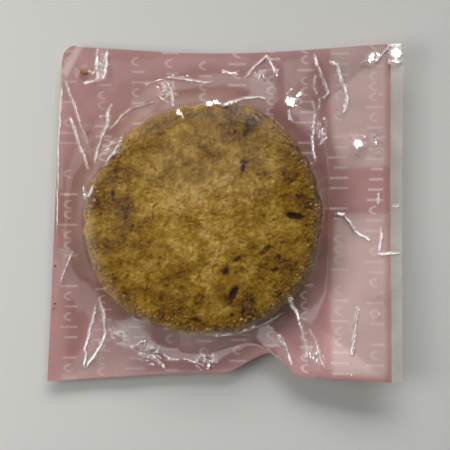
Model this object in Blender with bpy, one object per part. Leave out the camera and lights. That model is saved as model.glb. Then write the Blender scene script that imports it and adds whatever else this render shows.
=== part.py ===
"""Coconut cookie sealed in a flat film bag, lying on its back.

Three solids, one inside the other: the cookie, the printed back web under it, and the clear
front web, which is solid out to the film's outer form and has a seat cut for the cookie.
Lengths are in millimetres until a point is handed to Blender, which works in metres.
+Z is up, +X is towards the heat-sealed end, and the origin is under the middle of the bag.
"""

import math
import random

import bmesh
import bpy
from mathutils import Matrix, Vector, noise

MM = 0.001

# Bag, seen from above
BAG_WIDTH = 91.8
BAG_HEIGHT = 86.9
LIP_WIDTH = 3.2
LIP_SLANT = 0.5
LEFT_SLANT = 3.9
TOP_DIP = 2.1
BOTTOM_RISE = 2.0
BOTTOM_TUCK = 5.6
TUCK_X = 12.0
TUCK_HALF_WIDTH = 13.0
ROUNDED_CORNER = 3.6
SEAL_X = 27.2
SEAL_LEAST_SHARE = 0.1
WELD_SHARE = 0.93

# Cookie
COOKIE_CENTRE = Vector((-5.3, -1.7))
COOKIE_RADIUS = 29.4
COOKIE_THICKNESS = 9.6
FACE_FALL = 0.6
TOP_EDGE_RADIUS = 2.2
FOOT_FLARE = 0.7
FOOT_EDGE_RADIUS = 1.2
OUTLINE_WAVES = ((2, 0.55, 29.5), (3, 0.5, 72.0), (7, 0.22, 15.0), (11, 0.14, 3.0))

# Heights
FILM = 0.4
FILM_GAP = 0.3
SEAT_GAP = 0.75
SEAT_SKIN = 0.5
SEAT_DEPTH = 1.0
FLANGE_LOW = 2.2
FLANGE_RISE = 2.9
CORNER_LIFT = 1.8
EDGE_WAVE = 0.45

COOKIE_BASE = FILM + FILM_GAP
COOKIE_TOP = COOKIE_BASE + COOKIE_THICKNESS
FRONT_TOP = COOKIE_TOP + SEAT_GAP + SEAT_SKIN
RIM_DROP = 0.4
RIM_MARGIN = 1.2

# Grids: segments across a whole web, cookie or seat, and the share of them over the cookie's face
WEB_SEGMENTS = 24
WEB_DISC_SHARE = 4 / 12
WEB_SPREAD = 1.5
COOKIE_SEGMENTS = 42
COOKIE_FACE_SHARE = 14 / 21
SEAT_SEGMENTS = 24
SEAT_FACE_SHARE = 7 / 12

# Shares of the way down the cookie's side at which its upper edge ends and its foot's edge begins
EDGE_SHARE = 0.3
HEEL_SHARE = 0.8

# Crumb relief and what is baked into it
CRAG = 0.3
CRAG_AT_RIM = 1.5
CRAG_LENGTH = 3.6
PIT_COUNT = 22
PIT_DEPTH = 0.7
PIT_RADIUS = 2.1
CHIP_PITS = ((17.7, -0.3, 2.2), (2.0, -20.9, 2.0), (4.8, 12.4, 1.6), (11.0, -9.6, 1.8), (0.4, -14.4, 2.0))
GRAIN_COUNT = 66
GRAIN_RADIUS = 0.75
GRAIN_SUNK = 0.45
SHRED_COUNT = 48
SHRED_LENGTH = 2.9
SHRED_RADIUS = 0.5
SHRED_TAPER = 0.75
SHRED_SUNK = 0.6
SHRED_TILT = 5.0
GOLDEN_ANGLE = 137.5

# Colours, linear RGB
COOKIE_COLOUR = (0.36, 0.21, 0.055)
PRINT_COLOUR = (0.45, 0.22, 0.21)
CLEAR_COLOUR = (0.85, 0.85, 0.85)


def clear_scene():
    for old in list(bpy.data.objects):
        bpy.data.objects.remove(old)


def new_collection(name, parent):
    collection = bpy.data.collections.new(name)
    parent.children.link(collection)
    return collection


def material(name, colour, roughness, alpha=1.0):
    made = bpy.data.materials.new(name)
    made.use_nodes = True
    shader = made.node_tree.nodes["Principled BSDF"]
    shader.inputs["Base Color"].default_value = (*colour, 1.0)
    shader.inputs["Roughness"].default_value = roughness
    shader.inputs["Metallic"].default_value = 0.0
    shader.inputs["Alpha"].default_value = alpha
    return made


def clamp(value, low=0.0, high=1.0):
    return max(low, min(high, value))


def smooth(value):
    share = clamp(value)
    return share * share * (3 - 2 * share)


def bump(distance, half_width):
    """A round hump of height 1, gone at half_width from its middle."""
    return 1 - smooth(abs(distance) / half_width)


def square_direction(u, v):
    """Ring size and angle of a point of the square grid, so that square rings become round ones."""
    ring = max(abs(u), abs(v))
    if ring == 0:
        return 0.0, 0.0
    quarter = math.pi / 4
    if abs(u) >= abs(v):
        angle = quarter * v / u + (0 if u > 0 else math.pi)
    else:
        angle = math.pi / 2 - quarter * u / v + (0 if v > 0 else math.pi)
    return ring, angle


def cookie_radius(angle):
    """The cookie's uneven round outline."""
    radius = COOKIE_RADIUS
    for waves, height, peak in OUTLINE_WAVES:
        radius += height * math.cos(waves * (angle - math.radians(peak)))
    return radius


def rim_point(angle, margin=0.0):
    reach = cookie_radius(angle) + margin
    return COOKIE_CENTRE + Vector((math.cos(angle), math.sin(angle))) * reach


def top_edge(share):
    """Height on the page of the bag's top edge, at a share from -1 at the left to 1 at the right."""
    return BAG_HEIGHT / 2 - TOP_DIP * (1 - share * share) ** 1.5


def bottom_edge(share):
    x = share * BAG_WIDTH / 2
    pulled_in = BOTTOM_RISE * (1 - share * share) ** 1.5
    tucked_in = BOTTOM_TUCK * bump(x - TUCK_X, TUCK_HALF_WIDTH)
    return -BAG_HEIGHT / 2 + pulled_in + tucked_in


def left_edge(share):
    return -BAG_WIDTH / 2 + LEFT_SLANT * (1 + share) / 2


def right_edge():
    return BAG_WIDTH / 2 - LIP_WIDTH


def outline_point(u, v):
    """The point of the bag's outline that a point of the grid's outer ring stands for."""
    ring = max(abs(u), abs(v))
    across = u / ring
    along = v / ring
    left = left_edge(along)
    x = left + (right_edge() - left) * (across + 1) / 2
    share = clamp(x / (BAG_WIDTH / 2), -1, 1)
    low = bottom_edge(share)
    y = low + (top_edge(share) - low) * (along + 1) / 2
    return rounded(Vector((x, y)))


def rounded(point):
    """Rounds the bag's upper left corner."""
    middle = Vector((left_edge(1) + ROUNDED_CORNER, BAG_HEIGHT / 2 - ROUNDED_CORNER))
    if point.x < middle.x and point.y > middle.y:
        return middle + (point - middle).normalized() * ROUNDED_CORNER
    return point


def flange_height(point):
    """How high the bag's edge stands above the table. The sealed end and its near corner stand highest."""
    x = point.x / (BAG_WIDTH / 2)
    y = point.y / (BAG_HEIGHT / 2)
    height = FLANGE_LOW + FLANGE_RISE * smooth((x + 0.2) / 1.1)
    height += CORNER_LIFT * smooth(x) * smooth(-y)
    height += EDGE_WAVE * math.sin(5.2 * x + 1.0) * math.cos(4.4 * y - 0.6)
    return height


def web_place(u, v):
    """Plan position of a web's grid point, its share of the way from the cookie's rim to the bag's edge,
    and its share of the way from that rim to the seal."""
    ring, angle = square_direction(u, v)
    rim = rim_point(angle, RIM_MARGIN)
    if ring <= WEB_DISC_SHARE:
        return COOKIE_CENTRE.lerp(rim, ring / WEB_DISC_SHARE), 0.0, 0.0
    edge = outline_point(u, v)
    way = ((ring - WEB_DISC_SHARE) / (1 - WEB_DISC_SHARE)) ** WEB_SPREAD
    run = edge.x - rim.x
    sealed = (SEAL_X - rim.x) / run if run > 0 else 1.0
    sealed = clamp(sealed, SEAL_LEAST_SHARE, WELD_SHARE)
    return rim.lerp(edge, way), way, clamp(way / sealed)


def back_height(point, way):
    """Underside of the printed web: flat under the cookie, rising towards the bag's edge."""
    return flange_height(point) * smooth(way) ** 0.8


def inner_height(point, way):
    """Underside of the clear web where it is sealed to the printed one."""
    return back_height(point, way) + FILM + FILM_GAP


def outer_height(point, way, share):
    """Outer side of the clear web: taut over the cookie, falling to the seal."""
    landed = inner_height(point, way) + FILM
    if share == 0.0:
        from_middle = (point - COOKIE_CENTRE).length / (COOKIE_RADIUS + RIM_MARGIN)
    else:
        from_middle = 1.0
    taut = FRONT_TOP - FACE_FALL * from_middle**2 - RIM_DROP * smooth((from_middle - 0.8) / 0.2)
    return landed + (taut - landed) * (1 - share) ** 1.25


def lip_place(v):
    """A point of the clear lip's outer edge, and of the printed web's edge beside it."""
    edge, _, _ = web_place(1.0, v)
    up = (v + 1) / 2
    x = BAG_WIDTH / 2 - LIP_SLANT * (1 - up)
    return Vector((x, bottom_edge(1) + (top_edge(1) - bottom_edge(1)) * up)), edge


def grid_mesh(columns, rows):
    """A flat grid primitive with corners at -1 and 1, as a bmesh."""
    grid = bmesh.new()
    bmesh.ops.create_grid(grid, x_segments=columns, y_segments=rows, size=1.0)
    return grid


def add_object(name, mesh, collection, finish):
    made = bpy.data.objects.new(name, mesh)
    collection.objects.link(made)
    made.data.materials.append(finish)
    return made


def mesh_from(grid, name):
    bmesh.ops.recalc_face_normals(grid, faces=grid.faces)
    mesh = bpy.data.meshes.new(name)
    grid.to_mesh(mesh)
    grid.free()
    mesh.shade_smooth()
    mesh.set_sharp_from_angle(angle=math.radians(40))
    return mesh


def thick_web(name, low, high, lip_columns=0):
    """A closed web from a grid: its lower face follows low and its upper face high, both of (u, v)."""
    columns = WEB_SEGMENTS + lip_columns
    web = grid_mesh(columns, WEB_SEGMENTS)
    stretch = columns / WEB_SEGMENTS
    bmesh.ops.triangulate(web, faces=web.faces, quad_method="FIXED")
    places = {}
    for vert in web.verts:
        u = (vert.co.x + 1) * stretch - 1
        places[vert] = (round(u, 6), vert.co.y)
    lower = bmesh.ops.duplicate(web, geom=web.faces[:] + web.edges[:] + web.verts[:])
    for vert, (u, v) in places.items():
        vert.co = high(u, v) * MM
        lower["vert_map"][vert].co = low(u, v) * MM
    bmesh.ops.bridge_loops(web, edges=[edge for edge in web.edges if edge.is_boundary])
    return mesh_from(web, name)


def web_point(u, v, height):
    """A point of a web at the height that height(point, way, share) gives."""
    if u > 1.0:
        lip, edge = lip_place(v)
        return Vector((lip.x, lip.y, height(edge, 1.0, 1.0)))
    point, way, share = web_place(u, v)
    return Vector((point.x, point.y, height(point, way, share)))


def make_printed_back(collection):
    mesh = thick_web(
        "printed_back",
        lambda u, v: web_point(u, v, lambda point, way, share: back_height(point, way)),
        lambda u, v: web_point(u, v, lambda point, way, share: back_height(point, way) + FILM),
    )
    finish = material("pink_printed_film", PRINT_COLOUR, 0.3)
    return add_object("printed_back", mesh, collection, finish)


def make_clear_front(collection, seat):
    mesh = thick_web(
        "clear_front",
        lambda u, v: web_point(u, v, lambda point, way, share: inner_height(point, way)),
        lambda u, v: web_point(u, v, outer_height),
        lip_columns=1,
    )
    finish = material("clear_film", CLEAR_COLOUR, 0.08, alpha=0.25)
    front = add_object("clear_front", mesh, collection, finish)
    cut = front.modifiers.new("cookie seat", "BOOLEAN")
    cut.operation = "DIFFERENCE"
    cut.solver = "EXACT"
    cut.object = seat
    return front


def cookie_section(share, gap=0.0):
    """Radius left off the outline and height, at a share from 0 on the face's rim to 1 at the foot."""
    top = COOKIE_TOP - FACE_FALL + gap
    side = top - TOP_EDGE_RADIUS
    heel = COOKIE_BASE + FOOT_EDGE_RADIUS
    if share < EDGE_SHARE:
        turn = share / EDGE_SHARE * math.pi / 2
        inset = TOP_EDGE_RADIUS * (1 - math.sin(turn))
        return inset, top - TOP_EDGE_RADIUS * (1 - math.cos(turn))
    if share < HEEL_SHARE:
        down = (share - EDGE_SHARE) / (HEEL_SHARE - EDGE_SHARE)
        return -FOOT_FLARE * down, side + (heel - side) * down
    turn = (share - HEEL_SHARE) / (1 - HEEL_SHARE) * math.pi / 2
    inset = FOOT_EDGE_RADIUS * (1 - math.cos(turn)) - FOOT_FLARE
    return inset, heel - FOOT_EDGE_RADIUS * math.sin(turn)


def cookie_point(u, v, face_share, gap=0.0):
    """A point of the cookie's smooth form, grown by gap, and its outward direction on the page."""
    ring, angle = square_direction(u, v)
    outward = Vector((math.cos(angle), math.sin(angle), 0))
    face_rim = cookie_radius(angle) - TOP_EDGE_RADIUS + gap
    centre = Vector((COOKIE_CENTRE.x, COOKIE_CENTRE.y, 0))
    if ring <= face_share:
        reach = face_rim * ring / face_share
        height = COOKIE_TOP - FACE_FALL * (ring / face_share) ** 2 + gap
        return centre + outward * reach + Vector((0, 0, height)), outward
    inset, height = cookie_section((ring - face_share) / (1 - face_share), gap)
    reach = cookie_radius(angle) + gap - inset
    return centre + outward * reach + Vector((0, 0, height)), outward


def pits(seed):
    """Places, widths and depths of the pits on the cookie's face: those of the chips, and loose ones."""
    found = [(Vector((x, y)), radius, PIT_DEPTH) for x, y, radius in CHIP_PITS]
    draw = random.Random(seed)
    for _ in range(PIT_COUNT):
        angle = draw.uniform(0, 2 * math.pi)
        reach = COOKIE_RADIUS * math.sqrt(draw.uniform(0.02, 0.8))
        place = COOKIE_CENTRE + Vector((math.cos(angle), math.sin(angle))) * reach
        found.append((place, PIT_RADIUS * draw.uniform(0.7, 1.1), PIT_DEPTH * draw.uniform(0.4, 1.0)))
    return found


def crag(point, strength):
    """Crumb relief along the surface's outward direction, from two sizes of noise."""
    coarse = noise.noise(point / CRAG_LENGTH)
    fine = noise.noise(point * 2.3 / CRAG_LENGTH + Vector((7.1, 3.3, 9.7)))
    return strength * (coarse + 0.7 * fine)


def make_cookie(collection, flakes):
    face = grid_mesh(COOKIE_SEGMENTS, COOKIE_SEGMENTS)
    hollows = pits(seed=11)
    for vert in face.verts:
        u, v = vert.co.x, vert.co.y
        ring = max(abs(u), abs(v))
        point, outward = cookie_point(u, v, COOKIE_FACE_SHARE)
        edge = smooth((ring - COOKIE_FACE_SHARE) / 0.12)
        foot = smooth((ring - 0.9) / 0.1)
        strength = CRAG * (1 + (CRAG_AT_RIM - 1) * edge) * (1 - foot)
        along = Vector((0, 0, 1)).lerp(outward, edge)
        point = point + along * crag(point, strength)
        for place, radius, depth in hollows:
            point.z -= depth * (1 - edge) * bump((point.xy - place).length, radius)
        vert.co = point * MM
    rim = [edge for edge in face.edges if edge.is_boundary]
    bmesh.ops.contextual_create(face, geom=rim)
    mesh = mesh_from(face, "cookie")
    cookie = add_object("cookie", mesh, collection, material("baked_crumb", COOKIE_COLOUR, 0.85))
    fuse(cookie, flakes)
    return cookie


def add_flake(flakes, kind, place, turn, size):
    """One grain or shred of coconut, as an object for the union."""
    shape = bmesh.new()
    if kind == "grain":
        bmesh.ops.create_icosphere(shape, subdivisions=1, radius=size * MM)
    else:
        bmesh.ops.create_cone(
            shape,
            cap_ends=True,
            segments=5,
            radius1=SHRED_RADIUS * MM,
            radius2=SHRED_RADIUS * SHRED_TAPER * MM,
            depth=size * MM,
        )
    mesh = bpy.data.meshes.new(kind)
    shape.to_mesh(mesh)
    shape.free()
    flake = bpy.data.objects.new(kind, mesh)
    flake.matrix_world = Matrix.Translation(place * MM) @ turn
    flakes.objects.link(flake)


def scatter_flakes(flakes):
    """Grains crowd the rim and shreds lie in the face, each half sunk in the crumb."""
    draw = random.Random(5)
    for index in range(GRAIN_COUNT):
        angle = 2 * math.pi * (index + draw.uniform(-0.3, 0.3)) / GRAIN_COUNT
        inset, height = cookie_section(draw.uniform(0.02, 0.6))
        rim = rim_point(angle, -inset - GRAIN_SUNK * GRAIN_RADIUS)
        place = Vector((rim.x, rim.y, height))
        turn = Matrix.Rotation(draw.uniform(0, math.pi), 4, "Z")
        add_flake(flakes, "grain", place, turn, GRAIN_RADIUS * draw.uniform(0.8, 1.15))
    face_radius = COOKIE_RADIUS - TOP_EDGE_RADIUS
    for index in range(SHRED_COUNT):
        out = math.sqrt((index + 0.5) / SHRED_COUNT) * (1 - SHRED_LENGTH / 2 / face_radius)
        angle = index * math.radians(GOLDEN_ANGLE)
        spot = COOKIE_CENTRE + Vector((math.cos(angle), math.sin(angle))) * out * face_radius
        height = COOKIE_TOP - FACE_FALL * out**2 - SHRED_SUNK * SHRED_RADIUS
        place = Vector((spot.x, spot.y, height))
        tilt = draw.uniform(-SHRED_TILT, SHRED_TILT)
        lying = Matrix.Rotation(math.radians(90 + tilt), 4, "X")
        turn = Matrix.Rotation(draw.uniform(0, math.pi), 4, "Z") @ lying
        add_flake(flakes, "shred", place, turn, SHRED_LENGTH * draw.uniform(0.7, 1.2))


def fuse(cookie, flakes):
    """Joins the flakes to the cookie by one union, applies it and removes them."""
    union = cookie.modifiers.new("flakes", "BOOLEAN")
    union.operation = "UNION"
    union.solver = "MANIFOLD"
    union.operand_type = "COLLECTION"
    union.collection = flakes
    graph = bpy.context.evaluated_depsgraph_get()
    joined = bpy.data.meshes.new_from_object(cookie.evaluated_get(graph))
    cookie.modifiers.clear()
    cookie.data = joined
    for flake in list(flakes.objects):
        bpy.data.objects.remove(flake)


def make_seat_cutter(collection):
    """The room that the clear web leaves for the cookie, open below."""
    room = grid_mesh(SEAT_SEGMENTS, SEAT_SEGMENTS)
    last_ring = 1 - 1 / SEAT_SEGMENTS
    for vert in room.verts:
        u, v = vert.co.x, vert.co.y
        ring = max(abs(u), abs(v))
        point, _ = cookie_point(u, v, SEAT_FACE_SHARE, gap=SEAT_GAP)
        if ring > last_ring:
            _, angle = square_direction(u, v)
            wall = rim_point(angle, SEAT_GAP + FOOT_FLARE)
            point = Vector((wall.x, wall.y, -SEAT_DEPTH))
        vert.co = point * MM
    rim = [edge for edge in room.edges if edge.is_boundary]
    bmesh.ops.contextual_create(room, geom=rim)
    cutter = bpy.data.objects.new("cookie_seat", mesh_from(room, "cookie_seat"))
    cutter.hide_render = True
    cutter.display_type = "WIRE"
    collection.objects.link(cutter)
    return cutter


def main():
    clear_scene()
    scene_root = bpy.context.scene.collection
    parts = new_collection("wrapped_coconut_cookie", scene_root)
    cutters = new_collection("cutters", scene_root)
    flakes = new_collection("flakes", scene_root)
    scatter_flakes(flakes)
    bpy.context.view_layer.update()
    make_cookie(parts, flakes)
    make_printed_back(parts)
    make_clear_front(parts, make_seat_cutter(cutters))


main()
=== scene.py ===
"""Coconut cookie in its film bag: the finish of the crumb, the printed film and the clear film.

The cookie lies on the pink printed back film. A clear front film is drawn over its face and falls
to the welds, and past the print the front film runs on as a clear lip.
Lengths are in millimetres until MM turns them into metres, and +X is towards the wide weld.
"""

import math
import random

import bmesh
import bpy
import numpy as np
from mathutils import Euler, Matrix, Vector, noise


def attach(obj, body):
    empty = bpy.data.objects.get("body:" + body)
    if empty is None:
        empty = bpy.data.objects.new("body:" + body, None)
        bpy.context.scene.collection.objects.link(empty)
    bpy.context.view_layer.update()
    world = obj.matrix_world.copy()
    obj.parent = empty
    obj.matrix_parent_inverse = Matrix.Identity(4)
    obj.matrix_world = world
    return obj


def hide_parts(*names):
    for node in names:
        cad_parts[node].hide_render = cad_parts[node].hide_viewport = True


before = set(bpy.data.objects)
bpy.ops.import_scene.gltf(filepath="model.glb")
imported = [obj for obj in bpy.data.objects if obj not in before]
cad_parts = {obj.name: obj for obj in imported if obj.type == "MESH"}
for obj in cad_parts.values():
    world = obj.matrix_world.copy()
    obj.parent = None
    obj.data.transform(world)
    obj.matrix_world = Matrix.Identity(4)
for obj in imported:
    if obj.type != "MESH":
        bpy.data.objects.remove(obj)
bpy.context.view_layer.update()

MM = 0.001

# Bag outline
BAG_WIDTH = 91.8
BAG_HEIGHT = 86.9
LIP_WIDTH = 3.2
LIP_SLANT = 0.5
LEFT_SLANT = 3.9
TOP_DIP = 2.1
BOTTOM_RISE = 2.0
EDGE_CURVE = 1.5
BOTTOM_TUCK = 5.6
TUCK_X = 12.4
TUCK_LEFT_REACH = 13.5
TUCK_RIGHT_REACH = 7.0
ROUNDED_CORNER = 3.6
SEAL_X = 27.2
SEAL_LEAST_SHARE = 0.1
WELD_SHARE = 0.93

# Cookie outline and section
COOKIE_X = -5.3
COOKIE_Y = -1.7
COOKIE_RADIUS = 29.4
COOKIE_THICKNESS = 9.6
COOKIE_BASE = 0.7
COOKIE_TOP = COOKIE_BASE + COOKIE_THICKNESS
FACE_FALL = 0.6
TOP_EDGE_RADIUS = 2.2
FOOT_FLARE = 0.7
FOOT_EDGE_RADIUS = 1.2
EDGE_SHARE = 0.3
HEEL_SHARE = 0.8
OUTLINE_WAVES = ((2, 0.55, 29.5), (3, 0.5, 72.0), (7, 0.22, 15.0), (11, 0.14, 3.0))

# Heights of the bag's edge and of the films
FLANGE_LOW = 2.2
FLANGE_RISE = 2.9
CORNER_LIFT = 1.8
RISE_START = -0.2
RISE_SPAN = 1.1
EDGE_WAVE = 0.45
EDGE_WAVES_ACROSS = (5.2, 1.0)
EDGE_WAVES_UP = (4.4, -0.6)
FLARE_POWER = 0.8
BACK_LIFT = 0.3
WELD_GAP = 0.1
CLEAR_OF_CRUMB = 0.5
RIM_MARGIN = 1.0
DRAPE = 1.5
RIM_DROP = 0.5
RIM_DROP_START = 0.8
RIM_DROP_BORDER = 0.2

# Soft swells of both films outside the cookie: height, size and seed, and how soon they start
SWELLS = ((0.35, 11.0, 4.2), (0.12, 4.5, 8.1))
SWELL_ONSET = 3

# Ripples of the clear film alone: height, size and seed, over all of it and where it is slack
FINE_RIPPLE = (0.05, 5.0, 3.3)
SLACK_RIPPLE = (0.08, 2.6, 7.7)
SLACK_ONSET = 6

# Painted sheen on the clear film, standing in for its reflections: everywhere, where slack, in a ring round
# the cookie and most at its upper left, and painted highlights where folded and in patches
LEAST_SHEEN = 0.003
SLACK_SHEEN = 0.02
RIM_SHEEN = 0.048
UPPER_LEFT_SHEEN = 0.104
RIM_SHEEN_REACH = 3.2
UPPER_LEFT_REACH = 1.4 * COOKIE_RADIUS
FOLD_HIGHLIGHT_GAIN = 0.9
PATCH_SHEEN = 0.5
SHEEN_CLOUDS = (0.5, 6.0, 2.2)

# Painted shade on the print round the cookie, tinted brown like the cookie: its reach, wider on the left, and
# its strength
COOKIE_SHADE_START = 0.5
COOKIE_SHADE_REACH = 7.0
COOKIE_SHADE_LEFT_REACH = 4.0
COOKIE_SHADE_LEFT_START = 15.0
COOKIE_SHADE_LEFT_BORDER = 12.0
COOKIE_SHADE_STRENGTH = 0.3
COOKIE_SHADE_SIDE_STRENGTH = 0.6
COOKIE_SHADE_CLOUDS = (0.5, 3.0, 6.6)

# Meshes
FILM_CELLS = 298
FILM_DISC_SHARE = 0.45
FILM_SPREAD = 1.25
LIP_CELLS = 12
BACK_CELLS = 200
COOKIE_CELLS = 310
COOKIE_FACE_SHARE = 0.66

# Creases of the clear film: strength, and the route that each takes
CREASES = (
    (0.75, ((-33.0, 42.4), (-32.8, 33.9))),
    (0.62, ((-30.4, 42.4), (-30.4, 38.7), (-31.4, 34.1))),
    (0.56, ((-36.4, 33.3), (-33.0, 34.2))),
    (0.44, ((-34.3, 35.6), (-33.0, 37.0))),
    (0.44, ((-41.6, 34.9), (-39.6, 30.0), (-37.9, 25.1), (-35.0, 17.8))),
    (0.75, ((-40.0, 25.1), (-37.1, 17.2), (-34.4, 10.9))),
    (1.00, ((-28.8, 27.9), (-29.9, 25.1), (-29.5, 23.0), (-30.9, 19.9), (-32.2, 16.2), (-33.0, 12.7))),
    (0.56, ((-23.7, 26.6), (-26.4, 24.5), (-28.5, 21.7))),
    (0.37, ((-23.7, 26.6), (-17.5, 28.4))),
    (0.56, ((-26.1, 19.7), (-26.4, 17.8), (-28.8, 14.1), (-30.4, 11.6))),
    (0.81, ((-15.0, 34.9), (-10.5, 34.3), (-6.3, 33.6), (-3.2, 33.5))),
    (0.62, ((-15.0, 33.5), (-13.6, 31.8), (-13.1, 29.3), (-13.1, 26.5))),
    (0.50, ((-17.0, 30.0), (-14.4, 27.9))),
    (0.87, ((-4.4, 27.6), (-2.4, 27.9), (-0.8, 27.3))),
    (1.00, ((-0.9, 26.9), (1.6, 27.9), (4.5, 28.9), (7.5, 29.2), (11.1, 29.3))),
    (0.62, ((5.6, 34.9), (7.6, 37.6), (10.7, 40.4), (12.5, 38.0), (13.5, 35.2))),
    (0.50, ((9.1, 37.2), (8.7, 33.8))),
    (0.62, ((16.6, 26.5), (16.9, 23.8), (17.6, 23.3))),
    (0.56, ((22.9, 41.1), (23.9, 38.0), (25.7, 34.1), (26.9, 31.0), (26.0, 30.0), (24.7, 29.7))),
    (0.50, ((23.6, 35.6), (22.9, 32.4), (23.9, 30.4))),
    (0.44, ((24.6, 29.7), (24.3, 26.6))),
    (0.94, ((22.2, 29.3), (23.4, 26.6), (23.3, 23.1), (22.8, 19.7), (22.9, 16.2), (23.6, 12.7))),
    (0.81, ((26.4, 39.2), (29.1, 37.8), (30.1, 34.5), (31.6, 31.0), (31.6, 28.3), (30.7, 25.2))),
    (0.44, ((25.3, 24.8), (26.4, 24.1), (26.4, 22.0))),
    (0.50, ((24.6, 17.4), (26.7, 19.7))),
    (0.62, ((36.5, 39.5), (38.4, 38.6), (40.9, 41.1), (42.7, 42.8))),
    (1.00, ((28.4, -0.2), (30.9, -0.5), (32.5, -2.6), (33.7, -4.9), (37.6, -7.5))),
    (0.56, ((39.6, 5.4), (39.6, 2.0))),
    (0.62, ((40.4, -3.0), (40.2, -7.2), (39.9, -10.3))),
    (0.75, ((33.5, -23.6), (34.4, -24.8), (33.5, -28.7), (33.2, -33.5), (32.7, -37.2))),
    (0.75, ((16.2, -20.7), (17.4, -23.5), (18.7, -25.5), (19.8, -29.4), (20.8, -33.5), (21.2, -38.0))),
    (0.56, ((21.5, -29.7), (23.6, -33.1), (24.6, -37.0), (25.7, -40.1))),
    (0.56, ((13.9, -30.8), (15.6, -33.9), (17.4, -39.4))),
    (0.87, ((-31.7, -21.9), (-30.6, -26.2), (-30.4, -30.7), (-31.6, -34.1), (-34.8, -38.5), (-36.3, -40.4))),
    (0.75, ((-32.8, -23.8), (-34.2, -29.0), (-35.6, -34.2), (-36.2, -40.4))),
    (0.50, ((-39.2, -10.1), (-41.3, -15.2), (-42.2, -17.9))),
    (0.31, ((-43.8, -9.6), (-38.7, -10.1))),
    (0.56, ((-22.6, -33.9), (-20.2, -32.5), (-20.6, -35.6))),
    (0.62, ((-22.6, -36.2), (-18.7, -36.7), (-15.4, -40.1))),
    (0.44, ((-7.4, -39.3), (-6.0, -40.8))),
    (0.31, ((-4.0, -31.2), (2.7, -31.0), (9.7, -28.4), (15.3, -25.3))),
    (0.56, ((-3.9, -38.3), (-4.3, -40.6))),
    (0.37, ((-41.8, 35.7), (-42.9, 18.6), (-42.9, 9.3), (-43.4, -7.0))),
    (0.19, ((-43.3, 4.7), (-37.9, 4.7))),
    (0.50, ((-35.9, 6.9), (-35.3, 3.6))),
    (0.44, ((-33.3, 6.9), (-34.3, 4.0))),
    (1.00, ((41.4, 42.9), (45.0, 42.9), (45.3, 38.6), (42.4, 38.4), (42.0, 40.6))),
    (0.44, ((38.8, -10.5), (44.9, -10.5))),
    (0.31, ((42.9, 1.7), (45.0, 1.7))),
)

# Small facets of the clear film that mirror the lamp: place and radius
GLINTS = (
    (-11.5, 25.4, 1.4),
    (-4.0, 27.6, 1.0),
    (-2.2, 27.9, 0.8),
    (16.9, 28.2, 1.5),
    (19.3, 30.6, 0.9),
    (34.5, 17.9, 1.9),
    (35.8, 19.6, 0.7),
    (37.4, 39.6, 1.2),
    (39.2, 40.6, 0.6),
    (43.6, 40.7, 1.7),
    (38.9, 18.0, 0.5),
    (39.8, 15.2, 0.5),
    (40.1, 30.2, 0.4),
    (40.3, 32.6, 0.35),
    (32.3, -41.3, 0.6),
    (39.4, -25.9, 0.6),
    (-33.9, 17.2, 0.4),
    (-4.1, -39.4, 0.5),
    (-32.3, -33.4, 0.5),
)

# Where the clear film is crumpled: place, radius and strength
CRUMPLES = (
    (-14.9, 31.3, 3.6, 1.0),
    (-28.3, 16.8, 3.8, 1.0),
    (-31.8, 38.0, 3.0, 0.8),
    (39.0, 19.0, 4.0, 0.7),
    (9.7, 35.7, 3.5, 0.6),
    (-19.3, -36.7, 4.2, 0.75),
    (-4.5, -38.0, 4.0, 0.6),
    (-27.0, -31.5, 3.6, 0.4),
    (22.1, -36.7, 4.2, 0.6),
    (38.9, 39.8, 3.2, 0.8),
    (17.5, 29.2, 3.0, 0.8),
    (25.2, 21.5, 3.6, 0.6),
    (-34.8, 4.7, 2.0, 0.8),
    (39.5, -22.0, 3.5, 0.5),
)
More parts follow.
